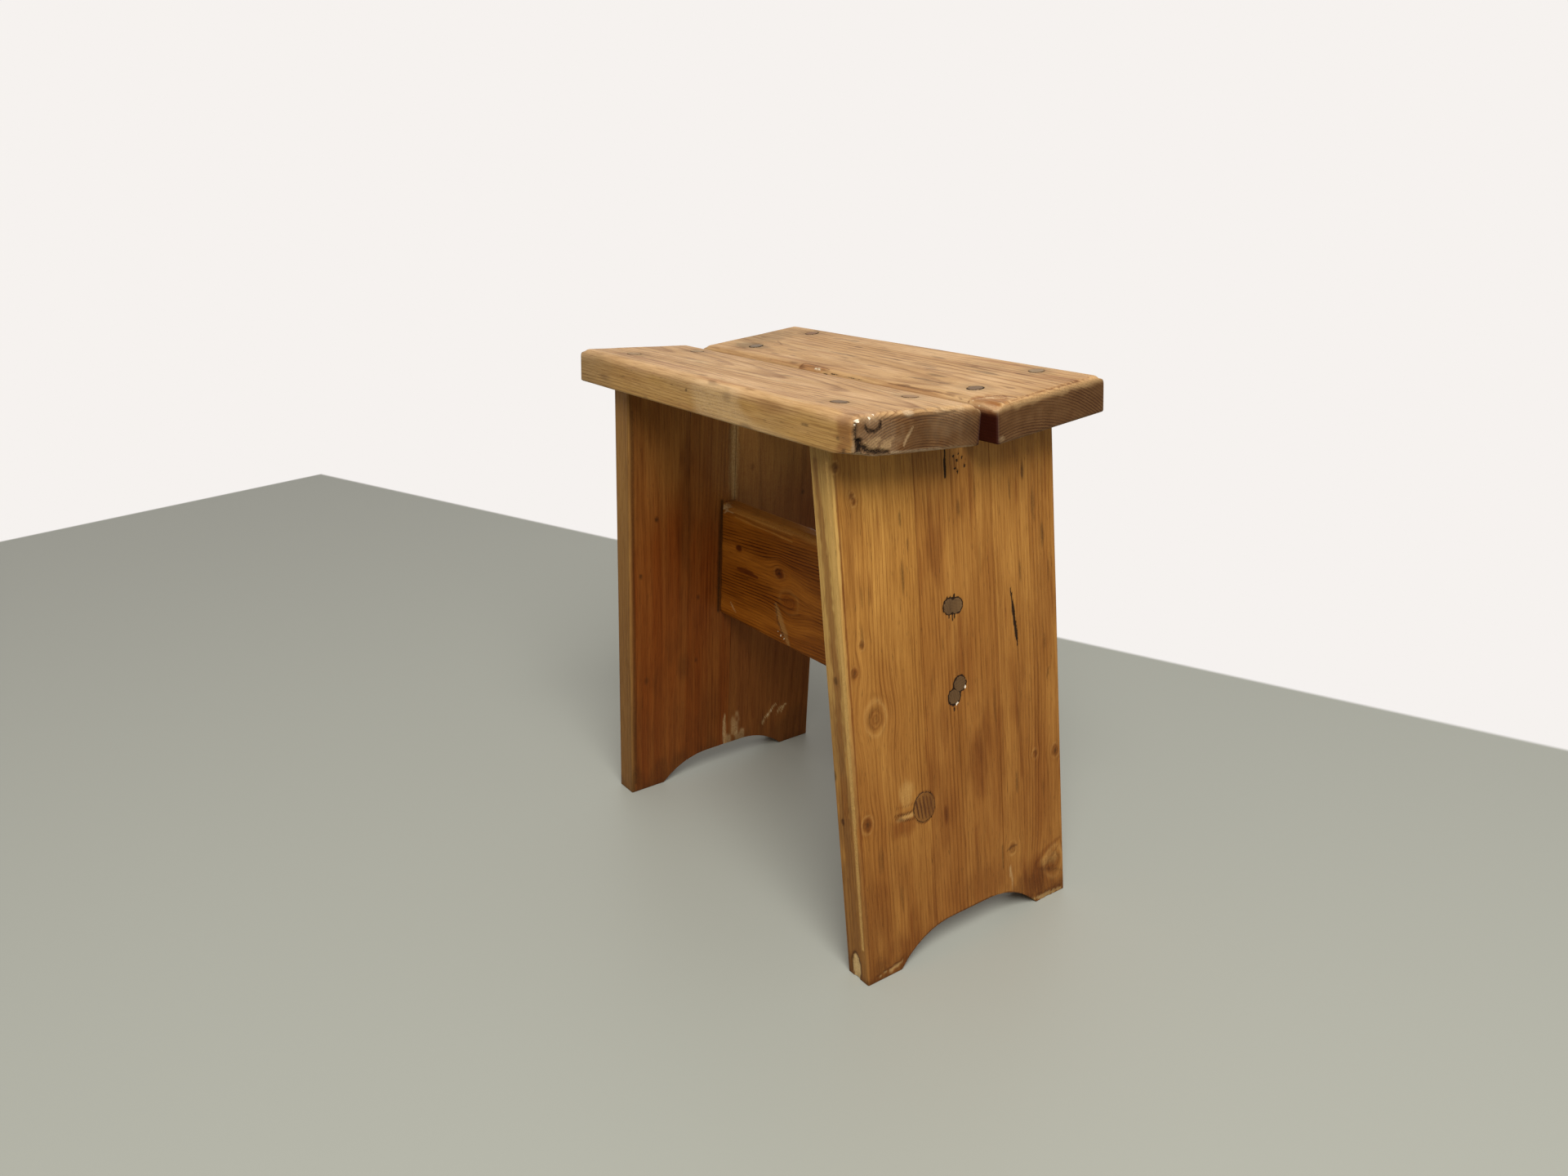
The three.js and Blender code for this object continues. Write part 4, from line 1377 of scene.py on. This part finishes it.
def right_leg(seat: Seat) -> tuple[Leg, tuple[Mark, ...]]:
    """The right leg, whose outer face and front edge show.

    Args:
        seat: what it carries.

    Returns:
        The leg and its marks.
    """
    staves = (
        Stave("front", -108, -36.0, Grain((-118, 32), 2.7, (0.01, 0.0), 1.0), 21, ((GREY, 0.12),)),
        Stave("middle", -35.9, 38.9, Grain((60, 70), 2.9, (-0.02, 0.02), 1.4), 22, ((WARM, 0.3), (GREY, 0.15))),
        Stave("rear", 39.0, 108, Grain((150, 60), 2.6, (0.02, 0.0), 1.2), 23, ((WARM, 0.22), (GREY, 0.14))),
    )
    leg = Leg("right", 1, staves, (1.1, 1.3, 1.4), seat)
    outer, front = leg.outer, leg.front
    knots = (
        (-104.8, 395.3, 2.3, 0.8), (-92.6, 373.5, 1.7, 0.7), (-91.0, 369.5, 1.8, 0.7), (-92.4, 266.7, 2.0, 0.6),
        (-100.4, 247.7, 2.6, 0.8), (-84.1, 209.1, 6.5, 0.3), (-98.4, 130, 3.6, 0.8), (101.2, 128.1, 3.2, 0.8),
        (77.8, 132.4, 2.2, 0.35), (48.5, 59, 3.0, 0.35), (95.5, 30.1, 7.0, 0.35),
    )
    streaks = (
        (-50.7, 350.4, 7, 1.0, 0.6), (-44.9, 329.4, 5, 0.9, 0.5), (-51.4, 306.6, 12, 1.1, 0.6),
        (-89.7, 301.6, 8, 1.0, 0.35), (-83.2, 300.1, 7, 0.9, 0.35), (-91.6, 272, 9, 1.2, 0.45),
        (73, 366, 7, 1.3, 0.75), (58.6, 354.3, 9, 0.9, 0.5), (83.5, 335.9, 12, 1.8, 0.5),
        (92.7, 311.2, 11, 1.9, 0.55), (67.4, 288.6, 8, 0.9, 0.5), (22.8, 360.3, 12, 0.8, 0.4),
        (25.3, 304.4, 16, 0.9, 0.3), (98.8, 282, 9, 1.1, 0.3), (5.6, 349, 6, 1.4, 0.5), (92.6, 226.3, 6, 1.1, 0.4),
        (-16.2, 250, 5, 0.9, 0.4), (55.9, 114.6, 8, 1.0, 0.5), (86.2, 97.4, 9, 0.9, 0.4), (-28.1, 222.1, 9, 1.0, 0.3),
        (62, 229.8, 12, 0.8, 0.25), (60.2, 169.1, 10, 0.8, 0.3), (-5, 160, 12, 0.9, 0.3), (-70, 60, 12, 1.6, 0.3),
        (-88, 96, 10, 3.0, 0.3), (35, 185, 14, 1.0, 0.3), (-60, 40, 16, 1.0, 0.25), (10, 60, 18, 1.2, 0.25),
    )
    stains = (
        (-19.3, 327, 7, 26, 0.5), (21, 161, 10, 20, 0.5), (14.4, 137.8, 9, 18, 0.5), (-20.9, 110, 9, 18, 0.45),
        (-19.5, 186.5, 6, 14, 0.3), (-32.4, 145.7, 8, 18, 0.35), (77, 25, 12, 14, 0.6), (60, 190, 8, 26, 0.25),
        (95, 250, 9, 40, 0.25), (-96, 340, 6, 40, 0.3), (-96, 60, 9, 30, 0.3), (20, 40, 30, 16, 0.3),
        (40, 150, 5, 40, 0.25), (-60, 15, 34, 10, 0.3), (5, 240, 8, 30, 0.2),
    )
    wormholes = ((6.7, 383.1), (4.6, 377.4), (13.7, 378), (8.3, 387.5), (3.3, 386.3), (6.7, 374.4), (11.5, 384.5))
    marks: list[Mark] = [Knot(outer(y, z), radius, core=core, halo=0.6 * core, bend=0.5)
                         for y, z, radius, core in knots]
    marks += [Spot(outer(y, z), (width, 3, length), ((DARK, tone),), edge=0.9, ragged=0.35)
              for y, z, length, width, tone in streaks]
    marks += [Spot(outer(y, z), (wide, 6, tall), ((WARM, tone), (DARK, tone * 0.35)), edge=1.3, ragged=0.4,
                   cell=6) for y, z, wide, tall, tone in stains]
    marks += [Spot(outer(y, z), (1.0, 1.5, 1.3), ((CRACK, 1.0),), 0.4, ragged=0.2, cell=1) for y, z in wormholes]
    # Glue that crept up and down from the plugs
    marks += [Line((outer(y, z), outer(y + 0.3, z + reach)), 1.3, GRIME, 0.2, 0.3, 0.6)
              for y, z, reach in ((-9.5, 280, 4), (-6.2, 281, 3), (-2.5, 281, 3.4), (-8.5, 270, -3),
                                  (-5.2, 269, -4.5), (-3.0, 269, -3), (-7.4, 196, -2.5))]
    marks += [
        Line((outer(56.8, 275.8), outer(59, 256.8), outer(62.7, 226.6)), 2.8, ((CRACK, 0.9), (DARK, 0.7)), 0.7,
             taper=0.8),
        Line((outer(-5.4, 393), outer(-5.6, 384), outer(-5.7, 371.7)), 1.5, GRIME, 0.3, taper=0.3, ragged=0.4),
        Line((outer(3.3, 388), outer(3.6, 380), outer(6.7, 374)), 0.8, ((DARK, 0.5), (WARM, 0.6)), 0.2),
        Line((outer(13.7, 388), outer(14.4, 382), outer(12.7, 377)), 0.8, ((DARK, 0.4), (WARM, 0.6)), 0.2),
        Line((outer(38.1, 68.4), outer(37.8, 56), outer(37.4, 43.6)), 1.2, ((DARK, 0.7),), 0.3),
        Line((outer(45.3, 46), outer(45.3, 30)), 1.2, ((PALE, 0.5),)),
        Line((outer(47.3, 40), outer(47.3, 18)), 1.0, ((PALE, 0.5),)),
        Line((outer(42.4, 58.5), outer(48.5, 60.5), outer(54.4, 60)), 2.2, ((DARK, 0.5), (WARM, 0.4))),
        Line((outer(97.9, 202.6), outer(95.5, 200), outer(93.9, 193)), 1.6, ((DARK, 0.45),)),
        Line((outer(84, 26), outer(93.4, 34.8), outer(101.7, 42.2)), 2.2, ((DARK, 0.22), (WARM, 0.4))),
        Line((outer(90.8, 24.5), outer(98, 22), outer(106, 17.7)), 1.6, ((DARK, 0.4),)),
        # The knot patch's spike to the front: two thin wedges, under a bright place and over a brown one
        Spot(outer(-59, 142), (6, 2, 9), ((RUB_AND_HIGHLIGHT, 0.35), (GOLD, 0.3)), edge=1.2, ragged=0.3),
        Spot(outer(-64, 117), (13, 3, 7), ((WARM, 0.55), (DARK, 0.1)), edge=1.2, ragged=0.3),
        Spot(outer(-61, 123.8), (9, 2, 2), ((RUB_AND_HIGHLIGHT, 0.5), (PALE, 0.15)), edge=0.7),
        Line((outer(-54.5, 132.4), outer(-62.4, 132.6), outer(-70, 133.5)), 1.0, ((DARK, 0.35), (WARM, 0.4))),
        Line((outer(-54.5, 126.5), outer(-60, 126), outer(-68, 127.2), outer(-72.4, 128.2)), 1.5,
             ((DARK, 0.75), (WARM, 0.7)), 0.2, 0.4),
        Line((outer(-53.5, 119.9), outer(-62.2, 121.4), outer(-72.2, 125.7)), 1.4, ((DARK, 0.7), (WARM, 0.7)),
             0.2, 0.4),
        Spot(outer(-21.3, 112.4), (1.6, 2, 8), ((WARM, 0.8), (DARK, 0.4)), edge=0.8, ragged=0.3),
        Spot(outer(3.2, 209.5), (2.2, 2, 1.1), ((FLECK, 1.0),), edge=0.5, ragged=0.5, cell=1.2),
        Spot(outer(-4.4, 198.4), (1.6, 2, 0.9), ((FLECK, 0.9),), edge=0.5, ragged=0.5, cell=1.2),
        # Painted shade: grey and darker just under the seat's overhang
        Fade(((ALONG, -34, -6),), ((GREY, 0.35), (DARK, 0.12)), ragged=0.1),
        Fade(((ALONG, -382, -401),), ((WARM, 0.4), (DARK, 0.3)), ragged=0.5, cell=(12, 12, 12)),
        Fade(((ALONG, -290, -385), (ACROSS, -10, -80), (THROUGH, 3, 0)), ((WARM, 0.35), (DARK, 0.14)),
             ragged=0.3, cell=(12, 12, 40)),
    ]
    # Knocks along the arch and the feet, and the big swirl at the rear foot
    for chain, width in ((((-101, 2.5), (-93, 4), (-85, 4.5), (-78, 5.5), (-72, 8)), 1.7),
                         (((64, 5.5), (80, 2.5), (104, 1.8)), 2.6)):
        marks += leg.chips(chain, width)
    marks += [
        Line((outer(-69, 5.5), outer(-62, 11.3), outer(-50, 18), outer(-40, 21.8), outer(-30, 23.9),
              outer(20, 24.6), outer(44, 20.6), outer(58, 13.6)), 1.6, ((DARK, 0.6), (WARM, 0.6)), 0.1, 0.3, 0.6),
        Line((outer(74, 35), outer(84, 42), outer(104, 49)), 4.5, ((WARM, 0.45), (DARK, 0.12)), ragged=0.5),
        Line((outer(76, 30), outer(88, 25.5), outer(98, 25)), 3.0, ((DARK, 0.25), (WARM, 0.4)), ragged=0.5),
        Spot(outer(92, 34), (9, 3, 5), ((RUB_AND_HIGHLIGHT, 0.35),), edge=0.9, ragged=0.4),
        Spot(outer(70, 19), (20, 4, 12), ((WARM, 0.5), (DARK, 0.35)), edge=1.2, ragged=0.5),
    ]
    # The front edge: pale sapwood that browns downwards, a dark vein, a painted highlight along the rounded arris and
    # a dark line beside it
    marks += [
        Fade(((ACROSS, -103.5, -107.5), (ALONG, -300, -200)), ((GOLD, 0.75),), ragged=0.4),
        Fade(((ACROSS, -103.5, -107.5), (ALONG, -160, -300)), ((WARM, 0.5), (GREY, 0.4)), ragged=0.5),
        Line((front(10, 2), front(12.5, 120), front(12, 240), front(14, 330), front(18, 399)), 7.0,
             ((WARM, 0.5), (DARK, 0.12)), taper=0.3, ragged=0.4),
        # Painted highlight along the rounded arris, over pale sapwood
        Line((front(3.6, 30), front(3.0, 150), front(3.4, 260), front(5.0, 399)), 3.2,
             ((RUB_AND_HIGHLIGHT, 0.75), (GOLD, 0.5)), taper=0.3, ragged=0.2),
        Line((outer(-104.9, 2), outer(-105.3, 150), outer(-105.3, 392)), 1.6, ((WARM, 0.8), (DARK, 0.25)),
             taper=0.2, ragged=0.3),
        Spot(front(13, 241), (2, 2, 3), ((DARK, 0.7),)),
        Spot(front(23, 165), (2, 2, 4), ((DARK, 0.7),)),
        Spot(front(17, 130), (2, 1.8, 2.8), ((DARK, 0.75), (WARM, 0.9))),
        Spot(front(13.5, 12), (3, 6.2, 13.5), ((WARM, 0.8),), edge=0.4),
        Spot(front(13.5, 10.5), (3, 4.4, 11.5), ((PALE, 1.0), (RUB_AND_HIGHLIGHT, 0.6)), 0.8, edge=0.2),
        Line(tuple(front(13.5 + 5.3 * math.cos(turn), 11 + 12.5 * math.sin(turn))
                   for turn in np.linspace(-0.6, 3.8, 12)), 1.5, ((DARK, 0.75), (WARM, 0.5)), 0.2, 0.3),
    ]
    return leg, tuple(marks) + leg.plug_rims()


def left_leg(seat: Seat) -> tuple[Leg, tuple[Mark, ...]]:
    """The left leg, whose inner face shows in the seat's shade.

    Args:
        seat: what it carries.

    Returns:
        The leg and its marks.
    """
    staves = (
        Stave("front", -108, -45.4, Grain((-30, -90), 3.0, (0.0, 0.01), 1.0), 31, ((GOLD, 0.1),)),
        Stave("middle", -45.3, 4.7, Grain((-90, -40), 2.8, (0.01, 0.0), 1.0), 32, ((WARM, 0.2),)),
        Stave("rear", 4.8, 108, Grain((55, 110), 3.6, (0.03, -0.02), 1.5), 33, ((GREY, 0.2),)),
    )
    leg = Leg("left", -1, staves, (1.5, 1.8, 1.8), seat)
    inner = leg.inner
    knots = ((-79.8, 285.6, 1.7, 0.9), (-96.4, 232.7, 1.6, 0.8), (-34.2, 197.4, 1.6, 0.7), (24.5, 319, 2.2, 0.3),
             (85.4, 283.4, 1.6, 0.7), (-35.9, 129.7, 1.6, 0.6), (-91.3, 122.1, 2.4, 0.5))
    stains = ((-47.9, 122.9, 8, 16, 0.8), (-60.1, 151.7, 8, 16, 0.5), (-77.3, 114.9, 5, 20, 0.5),
              (-49, 275, 7, 70, 0.8), (-100, 330, 8, 60, 0.5), (-20, 60, 20, 40, 0.5), (8, 215, 8, 30, 0.4))
    marks: list[Mark] = [Spot(inner(y, z), (radius, 2, 1.5 * radius), ((DARK, core), (WARM, 0.5)), edge=0.9)
                         for y, z, radius, core in knots]
    marks += [Spot(inner(y, z), (wide, 5, tall), ((WARM, tone), (DARK, tone * 0.4)), edge=1.3, ragged=0.4,
                   cell=6) for y, z, wide, tall, tone in stains]
    marks += [
        Line((inner(2.4, 385), inner(2.8, 330), inner(4.2, 293)), 9.0, ((PALE, 0.25), (GREY, 0.3)), taper=0.3),
        Line((inner(2.6, 380), inner(3.0, 330), inner(4.2, 293)), 3.6, ((PALE, 0.3), (GREY, 0.3)), taper=0.3),
        Line((inner(-2.4, 385), inner(-1.6, 330), inner(0.6, 293)), 2.0, ((DARK, 0.3),), taper=0.3),
        # Where the stretcher meets the leg: painted shadow in the corner, together with the dark glue line
        Line((inner(-10.6, 177), inner(-10.6, 230), inner(-9.6, 291)), 3.2, ((DARK, 0.9),), 0.0, 0.1, 0.1),
        Spot(inner(35, 330), (60, 6, 80), ((RUB_AND_HIGHLIGHT, 0.16),), edge=1.2, ragged=0.2, cell=9),
        # Painted shade on the inner face just under the seat, towards the front
        Fade(((ALONG, -45, -8), (THROUGH, 20, 23), (ACROSS, -20, -60)), ((DARK, 0.25),), ragged=0.2),
        Fade(((ALONG, -240, -370), (THROUGH, 20, 23), (ACROSS, -20, -70)), ((DARK, 0.22),), ragged=0.3),
        Line((inner(-8, 372), inner(-7.4, 330), inner(-6.6, 300)), 1.6, ((DARK, 0.25), (WARM, 0.3))),
        Line((inner(-0.3, 59.8), inner(0, 40), inner(0, 16)), 3.0, ((PALE, 0.7),), 0.3, taper=0.9),
        Spot(inner(5.1, 22.7), (4, 3, 8), ((PALE, 0.5),), ragged=0.4),
        Spot(inner(13.3, 38.8), (4, 3, 14), ((PALE, 0.4),), ragged=0.6),
        Spot(inner(19.1, 23.3), (6, 3, 8), ((PALE, 0.4),), ragged=0.6),
        Fade(((ALONG, -360, -388), (THROUGH, 20, 23)), ((DARK, 0.35),), ragged=0.6),
        Fade(((ACROSS, -103, -107),), ((GREY, 0.6), (WARM, 0.4)), ragged=0.1),
        Fade(((ACROSS, -103, -107), (ALONG, -150, -360)), ((WARM, 0.4), (DARK, 0.12)), ragged=0.2),
        Line((inner(-104, 10), inner(-104, 390)), 2.4, ((DARK, 0.5),), taper=0.1),
    ]
    for y, z, reach in ((50.7, 37.2, 8), (61.1, 47.7, 5), (68.9, 42.5, 6), (74.4, 44, 7), (56, 42, 6)):
        marks.append(Line((inner(y - 3, z - reach), inner(y, z), inner(y + 4, z + reach / 2)), 1.8,
                          ((PALE, 0.75), (FLECK, 0.35)), ragged=0.9))
    return leg, tuple(marks) + leg.plug_rims()


@dataclass(frozen=True)
class Stretcher(Host):
    """The bar between the legs: across runs up, through runs front to back, along runs left to right."""

    leg: Leg
    thickness: float = 18.3
    bottom: float = 175.9
    height: float = 113.5
    top_round: float = 5.0
    bottom_round: float = 1.5
    end_round: float = 0.6
    half_length: float = 140.0  # of the blank, before its ends are stretched to the legs
    steps: Place = (1.1, 1.5, 1.4)

    def to_world(self, local: np.ndarray) -> np.ndarray:
        """Lays the bar level."""
        return np.column_stack([local[:, ALONG], local[:, THROUGH], local[:, ACROSS] + self.bottom])

    def limits(self, across: np.ndarray, through: np.ndarray) -> tuple[np.ndarray, np.ndarray]:
        """Both ends follow the legs' inner faces."""
        leg = self.leg
        inset = leg.thickness + leg.seating
        drop = across + self.bottom - leg.height + math.sin(leg.splay) * inset
        reach = leg.reach - math.cos(leg.splay) * inset - math.tan(leg.splay) * drop
        return -reach, reach

    def front(self, x: float, z: float) -> Place:
        """A place on the front face, from where it lies in the stool's frame."""
        return z - self.bottom, -self.thickness / 2, x

    def wood(self) -> Wood:
        """The bar's blank, grain and marks."""
        half, front = self.thickness / 2, self.front
        rounds = (self.bottom_round, self.top_round, self.top_round, self.bottom_round)
        blank = Blank((0, -half, -self.half_length), (self.height, half, self.half_length), rounds,
                      (self.end_round,) * 2, (self.end_round,) * 2, self.steps)
        flecks = ((-56.6, 206, 0.5), (-56, 201, 0.6), (-58, 190, 0.7), (-54, 186, 0.9), (-50, 184, 1.1),
                  (-46, 182, 0.9), (-55, 192, 0.5))
        marks: list[Mark] = [
            Knot(front(-50.4, 243.2), 3.6, stretch=1.5, core=0.9, rim=0.9, halo=0.7, bend=0.9),
            Knot(front(-36.7, 219.6), 7.0, core=0.0, rim=0.0, halo=0.3, bend=0.7),
            Line((front(-57, 212), front(-47, 192), front(-38, 178)), 8.0, ((PALE, 0.15), (GOLD, 0.5)), 0.3),
            Line((front(-58, 211), front(-55, 196), front(-44, 180)), 1.6, ((DARK, 0.7), (CRACK, 0.4)), 0.5),
            Spot(front(-115.8, 251), (3, 3, 5), ((WARM, 0.9), (DARK, 0.5)), ragged=0.4),
            Line((front(-119.6, 229.9), front(-104, 231), front(-85.7, 229.8)), 5.0, ((WARM, 0.8), (DARK, 0.35))),
            Spot(front(-137, 287), (5, 6, 6), ((PALE, 0.5), (WARM, 0.5)), 0.8, ragged=0.8, cell=2),
            Fade(((ACROSS, 104, 111),), ((RUB_AND_HIGHLIGHT, 0.5), (GOLD, 0.15)), ragged=0.3),
            # The bar's left end: painted shadow in the joint with the leg, together with its glue line
            Line((front(-153.6, 176), front(-147.5, 232), front(-142.4, 282)), 3.0, ((DARK, 0.95),), 0.3, 0.1),
            Line((front(-141, 283), front(-136, 286.5), front(-129, 287)), 1.6, ((PALE, 0.8),), 0.2),
            Line((front(-140, 279), front(-134, 283), front(-122, 283.6)), 1.2, ((PALE, 0.6),)),
            Line((front(-122, 284.6), front(-70, 284.4), front(-30, 284.2)), 1.3, ((RUB_AND_HIGHLIGHT, 0.6),), taper=0.2),
            Line((front(-124, 282), front(-70, 281.6), front(-30, 281.4)), 1.2, ((DARK, 0.4),), taper=0.2),
            Line((front(-120, 279.8), front(-70, 278.9), front(-30, 278)), 1.3, ((RUB_AND_HIGHLIGHT, 0.6),), taper=0.2),
            Fade(((ACROSS, 4, 0.5),), ((DARK, 0.4),), ragged=0.4),
            Line((front(-134, 193), front(-128, 186), front(-124, 184)), 1.4, ((PALE, 0.6),)),
            Cloud((9, 20, 60), 0.2, 0.6, ((WARM, 0.45),)),
        ]
        marks += [Spot(front(x, z), (size, 2, size), ((FLECK, 1.0),), edge=0.5, ragged=0.4, cell=1.2)
                  for x, z, size in flecks]
        grain = Grain((-90, 34), 2.9, (0.07, 0.02), 0.7)
        return Wood("stretcher", Pine.STRETCHER, blank, grain, 41, (), tuple(marks))


@dataclass(frozen=True)
class Studio:
    """The photograph's camera, soft light from above and a plain floor."""

    image_width: int = 1920
    focal_pixels: float = 1460.446
    sensor: float = 36.0
    camera: Place = (0.77632, -0.58660, 0.59146)
    yaw: float = 54.84375
    pitch: float = -19.74471
    roll: float = -1.16324
    lamp_place: Place = (1.48, -0.86, 2.2)
    lamp_side: float = 1.45
    lamp_power: float = 75.0
    lamp_aim: Place = (0, 0, 0.25)
    sky: float = 0.31
    floor: str = "#a9aa9e"
    floor_roughness: float = 0.5
    floor_fade: tuple[float, float] = (1.9, 3.2)  # metres from the stool, to where the floor is white
    white: str = "#f6f2ef"
    floor_side: float = 16.0
    wall_lines: tuple[tuple[Place, float], ...] = (
        ((-0.3155, 0.9489, 0.0), 0.5646), ((-0.9754, -0.2205, 0.0), 1.6862))
    wall_blur: float = 0.005

    def place_camera(self) -> None:
        """Aims the camera: forward from yaw and pitch, then rolled about it."""
        yaw, pitch, roll = (math.radians(angle) for angle in (self.yaw, self.pitch, self.roll))
        ahead = Vector((-math.sin(yaw) * math.cos(pitch), math.cos(yaw) * math.cos(pitch), math.sin(pitch)))
        level = ahead.cross(Vector((0, 0, 1))).normalized()
        up = level.cross(ahead)
        right = math.cos(roll) * level + math.sin(roll) * up
        top = math.cos(roll) * up - math.sin(roll) * level
        data = bpy.data.cameras.new("camera")
        data.sensor_fit = "HORIZONTAL"
        data.sensor_width = self.sensor
        data.lens = self.focal_pixels * self.sensor / self.image_width
        camera = bpy.data.objects.new("camera", data)
        bpy.context.scene.collection.objects.link(camera)
        turn = Matrix((right, top, -ahead)).transposed().to_4x4()
        camera.matrix_world = Matrix.Translation(self.camera) @ turn
        bpy.context.scene.camera = camera

    def hang_lamp(self) -> None:
        """A large square lamp, aimed at the seat."""
        data = bpy.data.lights.new("overhead_softbox", "AREA")
        data.size = self.lamp_side
        data.energy = self.lamp_power
        lamp = bpy.data.objects.new("overhead_softbox", data)
        bpy.context.scene.collection.objects.link(lamp)
        lamp.location = self.lamp_place
        lamp.rotation_euler = (Vector(self.lamp_aim) - lamp.location).to_track_quat("-Z", "Y").to_euler()

    def paint_sky(self) -> None:
        """Even white light. What the camera and reflections see of it is full white."""
        world = bpy.data.worlds.new("soft_white")
        bpy.context.scene.world = world
        world.use_nodes = True
        tree = world.node_tree
        tree.nodes.clear()
        level = add_node(tree, "MapRange", {"Value": self.seen(tree), "To Min": self.sky, "To Max": 1.0})
        light = add_node(tree, "Background", (linear(self.white), level))
        add_node(tree, "OutputWorld", (light,))

    def seen(self, tree: bpy.types.NodeTree) -> Socket:
        """Adds what is 1 for camera rays and for reflected and refracted ones."""
        share = 0.0
        for ray in ("Is Camera Ray", "Is Glossy Ray", "Is Transmission Ray"):
            share = add_node(tree, "Math", (share, add_node(tree, "LightPath", output=ray)), operation="MAXIMUM")
        return share

    def lay_floor(self) -> None:
        """A painted floor: pale grey round the stool, and plain white for camera and reflections further off.

        A place lies past a line where its distance along the line's normal is over the line's reach.
        """
        side = self.floor_side / 2
        mesh = bpy.data.meshes.new("floor")
        corners = [(-side, -side, 0), (side, -side, 0), (side, side, 0), (-side, side, 0)]
        mesh.from_pydata(corners, [], [(0, 1, 2, 3)])
        floor = bpy.data.objects.new("floor", mesh)
        bpy.context.scene.collection.objects.link(floor)
        material = blank_material("eggshell_floor_paint")
        tree = material.node_tree
        place = add_node(tree, "TexCoord", output="Object")
        away = add_node(tree, "VectorMath", (place,), "Value", operation="LENGTH")
        fades = [(away, *self.floor_fade)]
        for normal, reach in self.wall_lines:
            past = add_node(tree, "VectorMath", (place, normal), "Value", operation="DOT_PRODUCT")
            fades.append((past, reach - self.wall_blur, reach + self.wall_blur))
        share = 0.0
        for fade in fades:
            faded = add_node(tree, "MapRange", fade, interpolation_type="SMOOTHSTEP")
            share = add_node(tree, "Math", (share, faded), operation="MAXIMUM")
        share = add_node(tree, "Math", (share, self.seen(tree)), operation="MULTIPLY")
        finish = {"Base Color": linear(self.floor), "Roughness": self.floor_roughness}
        paint = add_node(tree, "BsdfPrincipled", finish)
        white = add_node(tree, "Emission", (linear(self.white), 1.0))
        surface = add_node(tree, "MixShader", (share, paint, white))
        add_node(tree, "OutputMaterial", (surface,))
        mesh.materials.append(material)

    def build(self) -> None:
        """Sets everything up."""
        bpy.context.scene.view_settings.view_transform = "Standard"
        self.place_camera()
        self.hang_lamp()
        self.paint_sky()
        self.lay_floor()


def main() -> None:
    """Builds the stool and its surroundings, in order."""
    logging.basicConfig(level=logging.INFO, format="%(message)s")
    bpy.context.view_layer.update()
    Studio().build()
    shop = Workshop()
    seat = Seat()
    seat.build(shop)
    for leg, marks in (right_leg(seat), left_leg(seat)):
        leg.build(shop, marks)
    bar = Stretcher(leg)
    shop.put(bar.wood(), bar)


if __name__ == "__main__":
    main()
